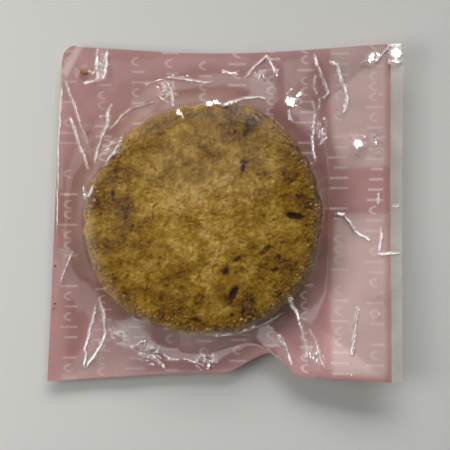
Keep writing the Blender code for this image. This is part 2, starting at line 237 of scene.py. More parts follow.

# Patches of painted sheen and painted highlight on the clear film, standing in for its reflections: strength,
# softness of the border, and the corners
PAINTED_SHEEN_PATCHES = (
    (0.05, 12.0, ((-33.0, 12.0), (-22.0, 14.0), (-20.0, -8.0), (-32.0, -10.0))),
    (
        0.1,
        15.0,
        ((-24.0, 10.0), (-11.0, 26.5), (2.0, 28.5), (13.0, 24.0), (14.0, 12.0), (6.0, 6.0), (-12.0, 4.0)),
    ),
    (0.45, 2.5, ((27.5, 42.2), (42.3, 42.9), (42.3, 12.2), (29.9, 11.6), (28.1, 18.9), (27.5, 29.2))),
    (0.40, 2.0, ((29.4, -0.3), (42.3, -0.3), (42.3, -42.2), (27.8, -41.1), (27.5, -22.5), (28.3, -7.0))),
    (
        0.5,
        2.5,
        (
            *((-32.2, -25.6), (-27.5, -28.2), (-19.3, -26.6), (-17.7, -34.1)),
            *((-20.3, -41.6), (-42.5, -42.9), (-36.3, -34.1)),
        ),
    ),
    (0.45, 0.8, ((12.3, -32.8), (15.4, -31.5), (18.2, -40.1), (14.6, -39.0))),
    (0.45, 0.8, ((19.5, -33.6), (23.4, -32.3), (25.0, -40.9), (21.1, -40.3))),
    (0.30, 1.0, ((-42.5, 35.7), (-41.2, 34.9), (-42.0, 5.9), (-43.8, 5.9))),
    (0.25, 1.2, ((-44.1, -10.1), (-39.4, -9.6), (-41.8, -17.3), (-44.4, -22.5))),
    (0.60, 0.8, ((-33.2, 42.7), (-30.1, 42.4), (-30.4, 34.4), (-32.7, 33.9))),
    (0.20, 1.0, ((5.6, 35.2), (10.7, 40.6), (13.6, 35.2), (13.1, 29.7), (6.6, 29.7))),
    (0.22, 1.5, ((15.1, 39.6), (22.6, 40.1), (22.9, 20.2), (18.5, 22.0), (15.4, 29.2))),
    (0.35, 0.6, ((-42.5, -41.8), (-20.0, -41.1), (2.0, -40.2), (2.0, -41.2), (-20.0, -42.2), (-42.5, -43.2))),
    (0.30, 1.5, ((-12.0, -29.7), (4.0, -30.3), (15.9, -25.6), (16.4, -27.7), (4.0, -33.4), (-11.0, -33.9))),
    (0.3, 1.2, ((-36.2, 6.0), (-35.0, 5.9), (-34.4, -5.0), (-32.2, -14.0), (-33.2, -14.6), (-35.3, -7.0))),
    # Painted light on the lip over its shadow on the table, a painted highlight block on the lip, and a
    # painted highlight filling the fold square at the top right corner
    (0.78, 0.4, ((42.5, 42.0), (45.9, 42.0), (45.4, -43.4), (42.5, -43.4))),
    (0.90, 0.5, ((42.3, -16.3), (44.9, -16.3), (44.9, -19.7), (42.3, -19.7))),
    (1.40, 0.5, ((41.8, 43.4), (45.6, 43.4), (45.6, 38.1), (42.3, 38.1))),
)

# Patches where the printed film is painted paler, or deeper where negative, given as strength, softness and
# corners: painted highlights at the top left corner and along the left edge, painted reflections on the
# right, painted shade on the left, and a darker strip along the print's right edge
PRINT_LIGHT_AND_SHADE_PATCHES = (
    (0.9, 1.0, ((-42.6, 36.6), (-38.4, 43.4), (-36.8, 43.0), (-41.0, 35.2))),
    (0.5, 0.8, ((-43.0, 35.7), (-42.2, 34.9), (-45.2, -12.0), (-46.2, -12.0))),
    (0.45, 2.5, ((27.5, 42.2), (42.3, 42.9), (42.3, 12.2), (29.9, 11.6), (28.1, 18.9), (27.5, 29.2))),
    (0.45, 2.0, ((29.4, -0.3), (42.3, -0.3), (42.3, -42.2), (27.8, -41.1), (27.5, -22.5), (28.3, -7.0))),
    (-0.7, 3.0, ((-41.5, 4.0), (-36.5, 4.0), (-35.5, -20.0), (-37.0, -41.0), (-41.0, -41.0))),
    (-0.5, 1.2, ((41.2, 43.4), (43.2, 43.4), (43.2, -43.4), (41.2, -43.4))),
)

# Camera, with the width that it sees at the height of the view plane
CAMERA_HEIGHT = 330.0
VIEW_WIDTH = 116.4
VIEW_CENTRE = (0.1, -3.1)
VIEW_PLANE = 3.0

# Lamp that the small facets mirror: azimuth and angle off the vertical in degrees, and distance
LAMP_AZIMUTH = 55.0
LAMP_POLAR = 44.0
LAMP_DISTANCE = 800.0

# Creases: the route's small bends, and how far the mesh is drawn onto a crest
BEND_PITCH = 1.3
BEND = 0.1
CREST_REACH = 0.17
BORDER_START = 0.995

# Creases: slope and half width of the folds, wider where strong and on the flank that faces the windows,
# and the size and seed of their bumps
FOLD_SLOPE = math.tan(math.radians(35))
FOLD_REACH = 2.0
FOLD_HALF_WIDTH = 0.3
STRONG_FOLD_WIDENING = 0.15
LIT_WIDENING = 1.4
LIT_SLANT = 0.8
FADING_SHARE = 0.16
LEAST_END = 0.2
FOLD_UNEVENNESS = 0.3
FOLD_BUMPS = (1.6, 12.5)

# Creases: half width of the painted highlight line on each flank, widest on the flank that faces the windows,
# and how it breaks up, with size and seed
LIT_LINE = 0.3
STRONG_LINE_WIDENING = 0.6
SHADED_LINE = 0.25
LINE_MEAN = 0.9
LINE_BOUNDS = (0.45, 1.2)
LINE_BREAKS = (1.3, 3.9)
LINE_GAIN = 1.4
LEAST_FLAT_FOLD = 0.2

# Glints: how ragged each facet's outline is, where its flat ends, and how wide its border is
GLINT_RAGGED = 0.7
GLINT_RAGGED_SIZE = 1.1
GLINT_FLAT = 0.85
GLINT_BORDER = 0.3

# Crumples: height, facet size and seed of the folds, and facet size and seed of the painted highlight lines
# between them
CRUMPLE_FOLDS = ((0.45, 2.4, 5), (0.2, 1.3, 9))
CRUMPLE_LINES = ((2.4, 5), (1.7, 9))
CRUMPLE_SINK = 0.25
CRUMPLE_LINE_POWER = 6
CRUMPLE_HIGHLIGHT = 0.8
LEAST_CRUMPLE = 0.02
FACET_FLAT = 0.7
POINTS_AT_ONCE = 4000


# Shapes shared by the pieces


def smooth(share):
    held = np.clip(share, 0.0, 1.0)
    return held * held * (3 - 2 * held)


def hump(distance, half_width):
    """A round hump of height 1, gone at half_width from its middle."""
    return 1 - smooth(np.abs(distance) / half_width)


def fields(x, y, size, seed):
    """Smooth random heights between about -1 and 1, with bumps of that size in millimetres."""
    return np.array([noise.noise(Vector((a / size, b / size, seed))) for a, b in zip(x, y)])


def round_direction(u, v):
    """Ring and angle of square grid points, so that the grid's square rings become round ones."""
    ring = np.maximum(np.abs(u), np.abs(v))
    wide = np.abs(u) >= np.abs(v)
    over = np.where(wide, v, u)
    under = np.where(wide, u, v)
    turned = math.pi / 4 * over / np.where(under == 0, 1.0, under)
    flat = turned + np.where(u >= 0, 0.0, math.pi)
    upright = math.pi / 2 - turned + np.where(v >= 0, 0.0, math.pi)
    return ring, np.where(wide, flat, upright)


def cookie_radius(angle):
    radius = COOKIE_RADIUS + 0 * angle
    for waves, height, peak in OUTLINE_WAVES:
        radius = radius + height * np.cos(waves * (angle - math.radians(peak)))
    return radius


def top_edge(share):
    return BAG_HEIGHT / 2 - TOP_DIP * (1 - share**2) ** EDGE_CURVE


def bottom_edge(share):
    from_tuck = share * BAG_WIDTH / 2 - TUCK_X
    reach = np.where(from_tuck < 0, TUCK_LEFT_REACH, TUCK_RIGHT_REACH)
    rise = BOTTOM_RISE * (1 - share**2) ** EDGE_CURVE
    return -BAG_HEIGHT / 2 + rise + BOTTOM_TUCK * hump(from_tuck, reach)


def outline(u, v):
    """Points of the printed film's outline that the grid's outer ring stands for."""
    ring = np.maximum(np.maximum(np.abs(u), np.abs(v)), 1e-9)
    across = (u / ring + 1) / 2
    up = (v / ring + 1) / 2
    left = -BAG_WIDTH / 2 + LEFT_SLANT * up
    x = left + (BAG_WIDTH / 2 - LIP_WIDTH - left) * across
    share = np.clip(x / (BAG_WIDTH / 2), -1, 1)
    low = bottom_edge(share)
    y = low + (top_edge(share) - low) * up
    corner_x = -BAG_WIDTH / 2 + LEFT_SLANT + ROUNDED_CORNER
    corner_y = BAG_HEIGHT / 2 - ROUNDED_CORNER
    reach = np.hypot(x - corner_x, y - corner_y)
    cut = (x < corner_x) & (y > corner_y)
    pull = np.where(cut, ROUNDED_CORNER / np.maximum(reach, 1e-9), 1.0)
    return corner_x + (x - corner_x) * pull, corner_y + (y - corner_y) * pull


def flange_height(x, y):
    """How high the bag's edge stands off the table."""
    across = x / (BAG_WIDTH / 2)
    up = y / (BAG_HEIGHT / 2)
    height = FLANGE_LOW + FLANGE_RISE * smooth((across - RISE_START) / RISE_SPAN)
    height = height + CORNER_LIFT * smooth(across) * smooth(-up)
    (wave_across, shift_across), (wave_up, shift_up) = EDGE_WAVES_ACROSS, EDGE_WAVES_UP
    return height + EDGE_WAVE * np.sin(wave_across * across + shift_across) * np.cos(wave_up * up + shift_up)


def bag_places(u, v):
    """Plan places of a film's grid points, with their share of the way to the bag's edge and to the weld."""
    held = np.clip(u, -1, 1)
    ring, angle = round_direction(held, v)
    rim = cookie_radius(angle) + RIM_MARGIN
    rim_x = COOKIE_X + rim * np.cos(angle)
    rim_y = COOKIE_Y + rim * np.sin(angle)
    edge_x, edge_y = outline(held, v)
    way = (np.clip(ring - FILM_DISC_SHARE, 0, 1) / (1 - FILM_DISC_SHARE)) ** FILM_SPREAD
    run = edge_x - rim_x
    sealed = np.where(run > 0, (SEAL_X - rim_x) / np.where(run == 0, 1, run), 1.0)
    share = np.clip(way / np.clip(sealed, SEAL_LEAST_SHARE, WELD_SHARE), 0, 1)
    inner = np.clip(ring / FILM_DISC_SHARE, 0, 1)
    x = COOKIE_X + (rim_x - COOKIE_X) * inner + (edge_x - rim_x) * way
    y = COOKIE_Y + (rim_y - COOKIE_Y) * inner + (edge_y - rim_y) * way
    return x, y, way, share, inner


def lip_places(u, v, x, y):
    """Carries the points past the print out to the clear lip's edge."""
    along = np.clip((u - 1) * FILM_CELLS / 2 / LIP_CELLS, 0, 1)
    up = (v + 1) / 2
    lip_x = BAG_WIDTH / 2 - LIP_SLANT * (1 - up)
    foot = bottom_edge(1.0)
    lip_y = foot + (top_edge(1.0) - foot) * up
    return x + (lip_x - x) * along, y + (lip_y - y) * along


def back_form(x, y, way):
    return BACK_LIFT + flange_height(x, y) * smooth(way) ** FLARE_POWER


def bent_route(route, draw):
    """The route with the small uneven bends that folds in slack film have."""
    points = [route[0]]
    for (ax, ay), (bx, by) in zip(route, route[1:]):
        length = math.dist((ax, ay), (bx, by))
        steps = max(1, round(length / BEND_PITCH))
        for step in range(1, steps + 1):
            along = step / steps
            off = draw.gauss(0, BEND) / length if step < steps else 0.0
            x = ax + along * (bx - ax) - off * (by - ay)
            y = ay + along * (by - ay) + off * (bx - ax)
            points.append((x, y))
    return points


def beside_route(x, y, route, reach):
    """Which points lie in the route's box, widened by reach."""
    places = np.array(route)
    low, high = places.min(axis=0) - reach, places.max(axis=0) + reach
    return np.nonzero((x > low[0]) & (x < high[0]) & (y > low[1]) & (y < high[1]))[0]


def nearest_on(route, x, y):
    """Each point's nearest place on the route, its distance, and that place's share of the way along."""
    lengths = [math.dist(a, b) for a, b in zip(route, route[1:])]
    distance = np.full(len(x), 1e9)
    on_x, on_y, along = x.copy(), y.copy(), np.zeros(len(x))
    done = 0.0
    for (ax, ay), (bx, by), length in zip(route, route[1:], lengths):
        share = np.clip(((x - ax) * (bx - ax) + (y - ay) * (by - ay)) / length**2, 0, 1)
        at_x, at_y = ax + share * (bx - ax), ay + share * (by - ay)
        away = np.hypot(x - at_x, y - at_y)
        closer = away < distance
        distance = np.where(closer, away, distance)
        on_x, on_y = np.where(closer, at_x, on_x), np.where(closer, at_y, on_y)
        along = np.where(closer, (done + share * length) / sum(lengths), along)
        done += length
    return on_x, on_y, distance, along


def new_mesh(name, shape):
    """A mesh of the bmesh shape, which is then freed."""
    mesh = bpy.data.meshes.new(name)
    shape.to_mesh(mesh)
    shape.free()
    return mesh


def grid_mesh(name, columns, rows):
    """A flat grid, and its points' places across and up, from -1 to 1."""
    grid = bmesh.new()
    bmesh.ops.create_grid(grid, x_segments=columns, y_segments=rows, size=1.0)
    mesh = new_mesh(name, grid)
    flat = np.empty(len(mesh.vertices) * 3, np.float32)
    mesh.vertices.foreach_get("co", flat)
    flat = flat.reshape(-1, 3).astype(float)
    return mesh, flat[:, 0], flat[:, 1]


def place_points(mesh, x, y, z):
    mesh.vertices.foreach_set("co", (np.stack([x, y, z], axis=1) * MM).astype(np.float32).ravel())
    mesh.update()
    mesh.shade_smooth()


def set_numbers(mesh, name, values):
    """Keeps a number on each point, which a material reads by that name."""
    layer = mesh.attributes.new(name, "FLOAT", "POINT")
    layer.data.foreach_set("value", np.asarray(values, np.float32))


def add_piece(name, mesh, finish):
    piece = bpy.data.objects.new(name, mesh)
    bpy.context.scene.collection.objects.link(piece)
    mesh.materials.append(finish)
    return piece


def join_shapes(name, shapes, finish):
    """One piece from many (mesh, matrix, shade) copies. Shade is kept as a number on each point."""
    joined = bmesh.new()
    shade_layer = joined.verts.layers.float.new("shade")
    for mesh, matrix, shade in shapes:
        before = len(joined.verts)
        joined.from_mesh(mesh)
        joined.verts.ensure_lookup_table()
        added = joined.verts[before:]
        bmesh.ops.transform(joined, matrix=matrix, verts=added)
        for vert in added:
            vert[shade_layer] = shade
    mesh = new_mesh(name, joined)
    mesh.shade_smooth()
    return add_piece(name, mesh, finish)


# Materials


def colour(code):
    """Linear colour from an sRGB hex value."""
    parts = [int(code[i : i + 2], 16) / 255 for i in (1, 3, 5)]
    return (*(c / 12.92 if c <= 0.04045 else ((c + 0.055) / 1.055) ** 2.4 for c in parts), 1.0)


def node(tree, kind, inputs=None, stops=None, **settings):
    """Adds a node with its settings. Inputs are values or the sockets that feed them."""
    made = tree.nodes.new("ShaderNode" + kind)
    for name, value in settings.items():
        setattr(made, name, value)
    for name, value in (inputs or {}).items():
        if isinstance(value, bpy.types.NodeSocket):
            tree.links.new(value, made.inputs[name])
        else:
            made.inputs[name].default_value = value
    for index, (place, code) in enumerate(stops or ()):
        elements = made.color_ramp.elements
        stop = elements[index] if index < 2 else elements.new(place)
        stop.position = place
        stop.color = colour(code)
    return made


def new_material(name):
    """An empty material: its node tree and its output node."""
    made = bpy.data.materials.new(name)
    made.use_nodes = True
    made.node_tree.nodes.clear()
    return made, made.node_tree, node(made.node_tree, "OutputMaterial")


def millimetres(tree):
    """The surface's place in millimetres, in the bag's own frame."""
    place = node(tree, "TexCoord").outputs["Object"]
    return node(tree, "VectorMath", {0: place, "Scale": 1 / MM}, operation="SCALE").outputs[0]


# Crumb: size, weight and detail of its browned patches, their mean sum, and colours from pale to toasted
CRUMB_PATCHES = ((9.0, 0.8, 2.0), (4.6, 0.95, 3.0), (1.7, 0.85, 3.0), (0.7, 0.6, 2.0))
PATCHES_MEAN = 1.27
CRUMB_TONES = (
    (0.0, "#E2BA6B"),
    (0.2, "#CAA04B"),
    (0.4, "#B1872E"),
    (0.6, "#986F12"),
    (0.8, "#7B5307"),
    (1.0, "#43200A"),
)
HUE_PATCH = 3.2
REDDEST_HUE = 0.49
HUE_SPREAD = 0.022

# Specks of the crumb: pitch, radii where each starts and is full, share left out, and strength
SPECK_PITCH = 1.3
SPECK_RADIUS = 0.3
SPECK_CORE = 0.14
SPECKS_LEFT_OUT = 0.6
SPECK_STRENGTH = 0.3
SPECK_COLOUR = "#553411"


def crumb_colour(tree, place, browning_and_shade):
    """Baked colour: golden where the dough stayed pale, brown where it toasted and where shade is painted,
    paler where light is painted, with fine dark specks.
    """
    tone = browning_and_shade
    for size, weight, detail in CRUMB_PATCHES:
        patches = node(
            tree,
            "TexNoise",
            {"Vector": place, "Scale": 1 / size, "Detail": detail, "Roughness": 0.6},
        )
        shares = {0: patches.outputs["Fac"], 1: weight, 2: tone}
        tone = node(tree, "Math", shares, operation="MULTIPLY_ADD").outputs[0]
    tone = node(tree, "Math", {0: tone, 1: PATCHES_MEAN}, operation="SUBTRACT").outputs[0]
    ramp = node(tree, "ValToRGB", {"Fac": tone}, stops=CRUMB_TONES)
    warmth = node(tree, "TexNoise", {"Vector": place, "Scale": 1 / HUE_PATCH, "Detail": 2.0}).outputs["Fac"]
    hue = node(tree, "Math", {0: warmth, 1: HUE_SPREAD, 2: REDDEST_HUE}, operation="MULTIPLY_ADD").outputs[0]
    baked = node(tree, "HueSaturation", {"Hue": hue, "Color": ramp.outputs["Color"]})
    specks = node(tree, "TexVoronoi", {"Vector": place, "Scale": 1 / SPECK_PITCH})
    dark = node(
        tree,
        "MapRange",
        {"Value": specks.outputs["Distance"], "From Min": SPECK_RADIUS, "From Max": SPECK_CORE},
    )
    chosen = node(tree, "SeparateColor", {"Color": specks.outputs["Color"]})
    chosen = node(tree, "Math", {0: chosen.outputs[0], 1: SPECKS_LEFT_OUT}, operation="GREATER_THAN")
    dark = node(tree, "Math", {0: dark.outputs[0], 1: chosen.outputs[0]}, operation="MULTIPLY")
    dark = node(tree, "Math", {0: dark.outputs[0], 1: SPECK_STRENGTH}, operation="MULTIPLY")
    speckled = node(
        tree,
        "Mix",
        {"Factor": dark.outputs[0], 6: baked.outputs["Color"], 7: colour(SPECK_COLOUR)},
        data_type="RGBA",
    )
    return speckled.outputs[2]


def baked_crumb():
    """Baked shortbread dough with ground coconut: dry and matt, with a faint greasy sheen on the grains."""
    made, tree, output = new_material("baked crumb")
    place = millimetres(tree)
    browning_and_shade = node(tree, "Attribute", attribute_name="browning_and_shade").outputs["Fac"]
    grain = node(tree, "TexNoise", {"Vector": place, "Scale": 1 / 0.6, "Detail": 3.0, "Roughness": 0.7})
    bump = node(tree, "Bump", {"Strength": 1.0, "Distance": 0.2 * MM, "Height": grain.outputs["Fac"]})
    shader = node(
        tree,
        "BsdfPrincipled",
        {
            "Base Color": crumb_colour(tree, place, browning_and_shade),
            "Roughness": 0.8,
            "IOR": 1.45,
            "Specular IOR Level": 0.1,
            "Normal": bump.outputs[0],
        },
    )
    tree.links.new(shader.outputs[0], output.inputs["Surface"])
    return made


# Dried coconut, from bare to toasted brown
COCONUT_TONES = ((0.0, "#D8B777"), (0.4, "#B88C3C"), (0.75, "#8E6216"), (1.0, "#553208"))


def coconut_flesh():
    """Dried coconut: waxy ivory shreds, some of them toasted to gold and brown."""
    made, tree, output = new_material("dried coconut")
    shade = node(tree, "Attribute", attribute_name="shade").outputs["Fac"]
    ramp = node(tree, "ValToRGB", {"Fac": shade}, stops=COCONUT_TONES)
    shader = node(
        tree,
        "BsdfPrincipled",
        {"Base Color": ramp.outputs["Color"], "Roughness": 0.65, "IOR": 1.45, "Specular IOR Level": 0.3},
    )
    tree.links.new(shader.outputs[0], output.inputs["Surface"])
    return made


# Clear film: its mirroring when taut, seen straight and at a slant, and what a fold adds to it
TAUT_MIRRORING = 0.04
SLANT_MIRRORING = 0.9
SLANT_POWER = 5.0
FOLD_MIRRORING = 0.55
TAUT_ROUGHNESS = 0.12
FOLD_ROUGHNESS = 0.2
RIPPLE_SIZE = 2.2


def clear_film():
    """Clear polypropylene film, 0.03 mm thick: it mirrors faintly, and carries a painted sheen, strongest
    where slack, with painted highlights along its folds.
    """
    made, tree, output = new_material("clear polypropylene film")
    place = millimetres(tree)
    ripple = node(tree, "TexNoise", {"Vector": place, "Scale": 1 / RIPPLE_SIZE, "Detail": 2.0})
    bump = node(tree, "Bump", {"Strength": 0.2, "Distance": 0.1 * MM, "Height": ripple.outputs["Fac"]})
    slanted = node(tree, "LayerWeight", {"Blend": 0.5, "Normal": bump.outputs[0]}).outputs["Facing"]
    slanted = node(tree, "Math", {0: slanted, 1: SLANT_POWER}, operation="POWER").outputs[0]
    taut = node(
        tree,
        "Math",
        {0: slanted, 1: SLANT_MIRRORING, 2: TAUT_MIRRORING},
        operation="MULTIPLY_ADD",
        use_clamp=True,
    )
    fold_highlight = node(tree, "Attribute", attribute_name="fold_highlight").outputs["Fac"]
    both = {0: fold_highlight, 1: FOLD_MIRRORING, 2: taut.outputs[0]}
    mirrored = node(tree, "Math", both, operation="MULTIPLY_ADD")
    rough = node(tree, "Math", {0: fold_highlight, 1: FOLD_ROUGHNESS, 2: TAUT_ROUGHNESS}, operation="MULTIPLY_ADD")
    gloss = node(
        tree,
        "BsdfAnisotropic",
        {"Color": colour("#FFFFFF"), "Roughness": rough.outputs[0], "Normal": bump.outputs[0]},
    )
    # Painted sheen: a diffuse white mixed in, standing in for the film's reflections and for highlights along
    # its folds
    painted_sheen = node(tree, "Attribute", attribute_name="painted_sheen").outputs["Fac"]
    through = node(tree, "BsdfTransparent", {"Color": colour("#FAFAF8")})
    sheen_shader = node(tree, "BsdfDiffuse", {"Color": colour("#FFF0EA")})
    sheened = node(tree, "MixShader", {0: painted_sheen, 1: through.outputs[0], 2: sheen_shader.outputs[0]})
    shader = node(tree, "MixShader", {0: mirrored.outputs[0], 1: sheened.outputs[0], 2: gloss.outputs[0]})
    tree.links.new(shader.outputs[0], output.inputs["Surface"])
    return made


# Print: rows across the bag and the shapes along them
ROW_PITCH = 8.77
FIRST_ROW_X = -40.0
ROW_SHIFT = 20.0
SHAPE_PITCH = 2.65
SHAPE_GAP = 0.35
SHAPE_HEIGHT = 3.5
LINE_WIDTH = 0.6

# Print: a hook's line in a circle of radius 1, and where the hook is cut off
HOOK_RADIUS = 0.8
HOOK_LINE = 0.3
HOOK_CORE = 0.16
HOOK_CUT = 0.1

# Print: shares of gaps and of gaps with hooks, and how far up the shortest and the tallest bar reach
GAPS = 0.14
GAPS_AND_HOOKS = 0.5
SHORTEST_BAR = -1.2
TALLEST_BAR = -3.2

# Print: where on the bag the shapes are faint and where they are full, and their strength where faint
FAINT_X = -40.0
BOLD_X = 30.0
FAINT_STRENGTH = 0.5
INK_CLOUD = 14.0


def print_shapes(tree, place):
    """How much of a pale printed shape covers each point: rows of plain hooks and bars with gaps."""
    axes = node(tree, "SeparateXYZ", {0: place})
    rows = node(tree, "Math", {0: axes.outputs["X"], 1: FIRST_ROW_X - ROW_PITCH / 2}, operation="SUBTRACT")
    rows = node(tree, "Math", {0: rows.outputs[0], 1: ROW_PITCH}, operation="DIVIDE")
    row = node(tree, "Math", {0: rows.outputs[0]}, operation="FLOOR")
    across = node(tree, "Math", {0: rows.outputs[0]}, operation="FRACT")
    from_middle = {0: across.outputs[0], 1: ROW_PITCH, 2: -ROW_PITCH / 2}
    across = node(tree, "Math", from_middle, operation="MULTIPLY_ADD")
    start = node(tree, "TexWhiteNoise", {"W": row.outputs[0]}, noise_dimensions="1D")
    steps = node(tree, "Math", {0: axes.outputs["Y"], 1: SHAPE_PITCH}, operation="DIVIDE")
    shifted = {0: start.outputs["Value"], 1: ROW_SHIFT, 2: steps.outputs[0]}
    steps = node(tree, "Math", shifted, operation="MULTIPLY_ADD")
    step = node(tree, "Math", {0: steps.outputs[0]}, operation="FLOOR")
    along = node(tree, "Math", {0: steps.outputs[0]}, operation="FRACT")
    from_middle = {0: along.outputs[0], 1: SHAPE_PITCH, 2: -SHAPE_PITCH / 2}
    along = node(tree, "Math", from_middle, operation="MULTIPLY_ADD")
    cell = node(tree, "CombineXYZ", {0: row.outputs[0], 1: step.outputs[0]})
    draw = node(tree, "TexWhiteNoise", {"Vector": cell.outputs[0]}, noise_dimensions="2D")
    kind = draw.outputs["Value"]

    flat = node(tree, "Math", {0: across.outputs[0], 1: 2 / SHAPE_HEIGHT}, operation="MULTIPLY")
    wide = node(tree, "Math", {0: along.outputs[0], 1: 2 / (SHAPE_PITCH - SHAPE_GAP)}, operation="MULTIPLY")
    ring = node(tree, "CombineXYZ", {0: flat.outputs[0], 1: wide.outputs[0]})
    ring = node(tree, "VectorMath", {0: ring.outputs[0]}, operation="LENGTH")
    ring = node(tree, "Math", {0: ring.outputs["Value"], 1: HOOK_RADIUS}, operation="SUBTRACT")
    ring = node(tree, "Math", {0: ring.outputs[0]}, operation="ABSOLUTE")
    ring = node(tree, "MapRange", {"Value": ring.outputs[0], "From Min": HOOK_LINE, "From Max": HOOK_CORE})
    open_side = node(tree, "Math", {0: across.outputs[0], 1: HOOK_CUT}, operation="LESS_THAN")
    hook = node(tree, "Math", {0: ring.outputs[0], 1: open_side.outputs[0]}, operation="MULTIPLY")

    beside = node(tree, "Math", {0: along.outputs[0]}, operation="ABSOLUTE")
    bar = node(
        tree,
        "MapRange",
        {"Value": beside.outputs[0], "From Min": 0.65 * LINE_WIDTH, "From Max": 0.35 * LINE_WIDTH},
    )
    heights = {"From Min": GAPS_AND_HOOKS, "From Max": 1.0, "To Min": SHORTEST_BAR, "To Max": TALLEST_BAR}
    top = node(tree, "MapRange", {"Value": kind, **heights})
    above = node(tree, "Math", {0: across.outputs[0], 1: top.outputs[0]}, operation="GREATER_THAN")
    below = node(tree, "Math", {0: across.outputs[0], 1: SHAPE_HEIGHT / 2}, operation="LESS_THAN")
    bar = node(tree, "Math", {0: bar.outputs[0], 1: above.outputs[0]}, operation="MULTIPLY")
    bar = node(tree, "Math", {0: bar.outputs[0], 1: below.outputs[0]}, operation="MULTIPLY")

    is_bar = node(tree, "Math", {0: kind, 1: GAPS_AND_HOOKS}, operation="GREATER_THAN")
    is_shape = node(tree, "Math", {0: kind, 1: GAPS}, operation="GREATER_THAN")
    shape = node(tree, "Mix", {0: is_bar.outputs[0], 2: hook.outputs[0], 3: bar.outputs[0]})
    return node(tree, "Math", {0: shape.outputs[0], 1: is_shape.outputs[0]}, operation="MULTIPLY").outputs[0]


def printed_film():
    """Film gravure-printed in dusty pink, with rows of pale shapes left out of the ink, painted shade round
    the cookie, and patches of painted highlight, reflection and shade.
    """
    made, tree, output = new_material("pink printed film")
    place = millimetres(tree)
    shapes = print_shapes(tree, place)
    cloud = node(tree, "TexNoise", {"Vector": place, "Scale": 1 / INK_CLOUD, "Detail": 2.0})
    pink = node(
        tree,
        "Mix",
        {"Factor": cloud.outputs["Fac"], 6: colour("#CB9496"), 7: colour("#D5A3A2")},
        data_type="RGBA",
    )
    # Painted shade round the cookie, tinted brown like the cookie
    cookie_shade_amount = node(tree, "Attribute", attribute_name="shaded_by_cookie").outputs["Fac"]
    shaded_by_cookie = node(tree, "Mix", {"Factor": cookie_shade_amount, 6: pink.outputs[2], 7: colour("#A06A50")}, data_type="RGBA")
    # Patches of painted highlight, reflection and shade, paler or deeper
    pale = node(tree, "Attribute", attribute_name="pale").outputs["Fac"]
    lightening = {"Factor": pale, 6: shaded_by_cookie.outputs[2], 7: colour("#F2D8D4")}
    lighter = node(tree, "Mix", lightening, data_type="RGBA")
    deepening = node(tree, "Math", {0: pale, 1: -1.0}, operation="MULTIPLY", use_clamp=True)
    deeper = {"Factor": deepening.outputs[0], 6: lighter.outputs[2], 7: colour("#B07874")}
    ink = node(tree, "Mix", deeper, data_type="RGBA")
    across = node(tree, "SeparateXYZ", {0: place}).outputs["X"]
    bold = node(
        tree,
        "MapRange",
        {"Value": across, "From Min": FAINT_X, "From Max": BOLD_X, "To Min": FAINT_STRENGTH, "To Max": 1.0},
    )
    bared = node(tree, "Math", {0: shapes, 1: bold.outputs[0]}, operation="MULTIPLY")
    print_left_out = {"Factor": bared.outputs[0], 6: ink.outputs[2], 7: colour("#EFD2D0")}
    surface = node(tree, "Mix", print_left_out, data_type="RGBA")
    shader = node(tree, "BsdfPrincipled", {"Base Color": surface.outputs[2], "Roughness": 0.38, "IOR": 1.49})
    tree.links.new(shader.outputs[0], output.inputs["Surface"])
    return made


# Cookie


def cookie_section(share):
    """Radius left off the outline and height, at shares from 0 on the face's rim to 1 at the foot."""
    top = COOKIE_TOP - FACE_FALL
    side = top - TOP_EDGE_RADIUS
    heel = COOKIE_BASE + FOOT_EDGE_RADIUS
    edge_turn = np.clip(share / EDGE_SHARE, 0, 1) * math.pi / 2
    foot_turn = np.clip((share - HEEL_SHARE) / (1 - HEEL_SHARE), 0, 1) * math.pi / 2
    down = np.clip((share - EDGE_SHARE) / (HEEL_SHARE - EDGE_SHARE), 0, 1)
    inset = TOP_EDGE_RADIUS * (1 - np.sin(edge_turn)) - FOOT_FLARE * down
    inset = inset + FOOT_EDGE_RADIUS * (1 - np.cos(foot_turn))
    height = top - TOP_EDGE_RADIUS * (1 - np.cos(edge_turn)) - (side - heel) * down
    return inset, height - FOOT_EDGE_RADIUS * np.sin(foot_turn)


# Hollows of the face, made darkest with painted shade: place, half length, half width, turn in degrees, and
# depth
HOLLOWS = (
    (17.7, -0.8, 2.6, 0.95, -8, 0.9),
    (2.3, -20.3, 2.4, 1.0, 62, 0.9),
    (4.7, 11.2, 1.8, 0.7, 80, 0.75),
    (4.9, 12.8, 1.5, 0.6, -5, 0.7),
    (10.4, -9.6, 2.4, 0.9, 42, 0.6),
    (0.4, -14.8, 1.9, 1.5, 50, 0.5),
    (2.9, -12.1, 1.6, 0.55, 35, 0.5),
    (12.8, -14.9, 1.6, 0.85, 60, 0.45),
    (-7.2, -27.2, 1.8, 0.8, -10, 0.55),
    (-28.2, 4.8, 0.9, 0.6, 90, 0.55),
)
DEEPEST_HOLLOW = 0.9
HOLLOW_REACH = 1.25
DARK_REACH = 1.15

# Small random pits: how many, their radii, and their depths as a share of the radius
PIT_COUNT = 520
PIT_RADII = (0.28, 0.75)
PIT_DEPTHS = (0.25, 0.5)

# Relief of the crumb: height and size of its swells, lumps and grains
BROAD_RELIEF, BROAD_SIZE = 0.16, 6.5
LUMP_RELIEF, LUMP_SIZE = 0.17, 1.7
GRAIN_RELIEF, GRAIN_SIZE = 0.17, 0.75
GRAIN_SHIFT = (9.0, 4.0, 2.0)

# Rougher relief of the side: how much stronger, its lumps, and the ragged outline
SIDE_GAIN = 1.1
SIDE_LUMPS = 0.35
RAGGED_RELIEF, RAGGED_SIZE = 1.1, 3.2
RAGGED_SHIFT = (1.0, 7.0, 5.0)
SIDE_BORDER = 0.12
FOOT_START = 0.93
FOOT_BORDER = 0.07

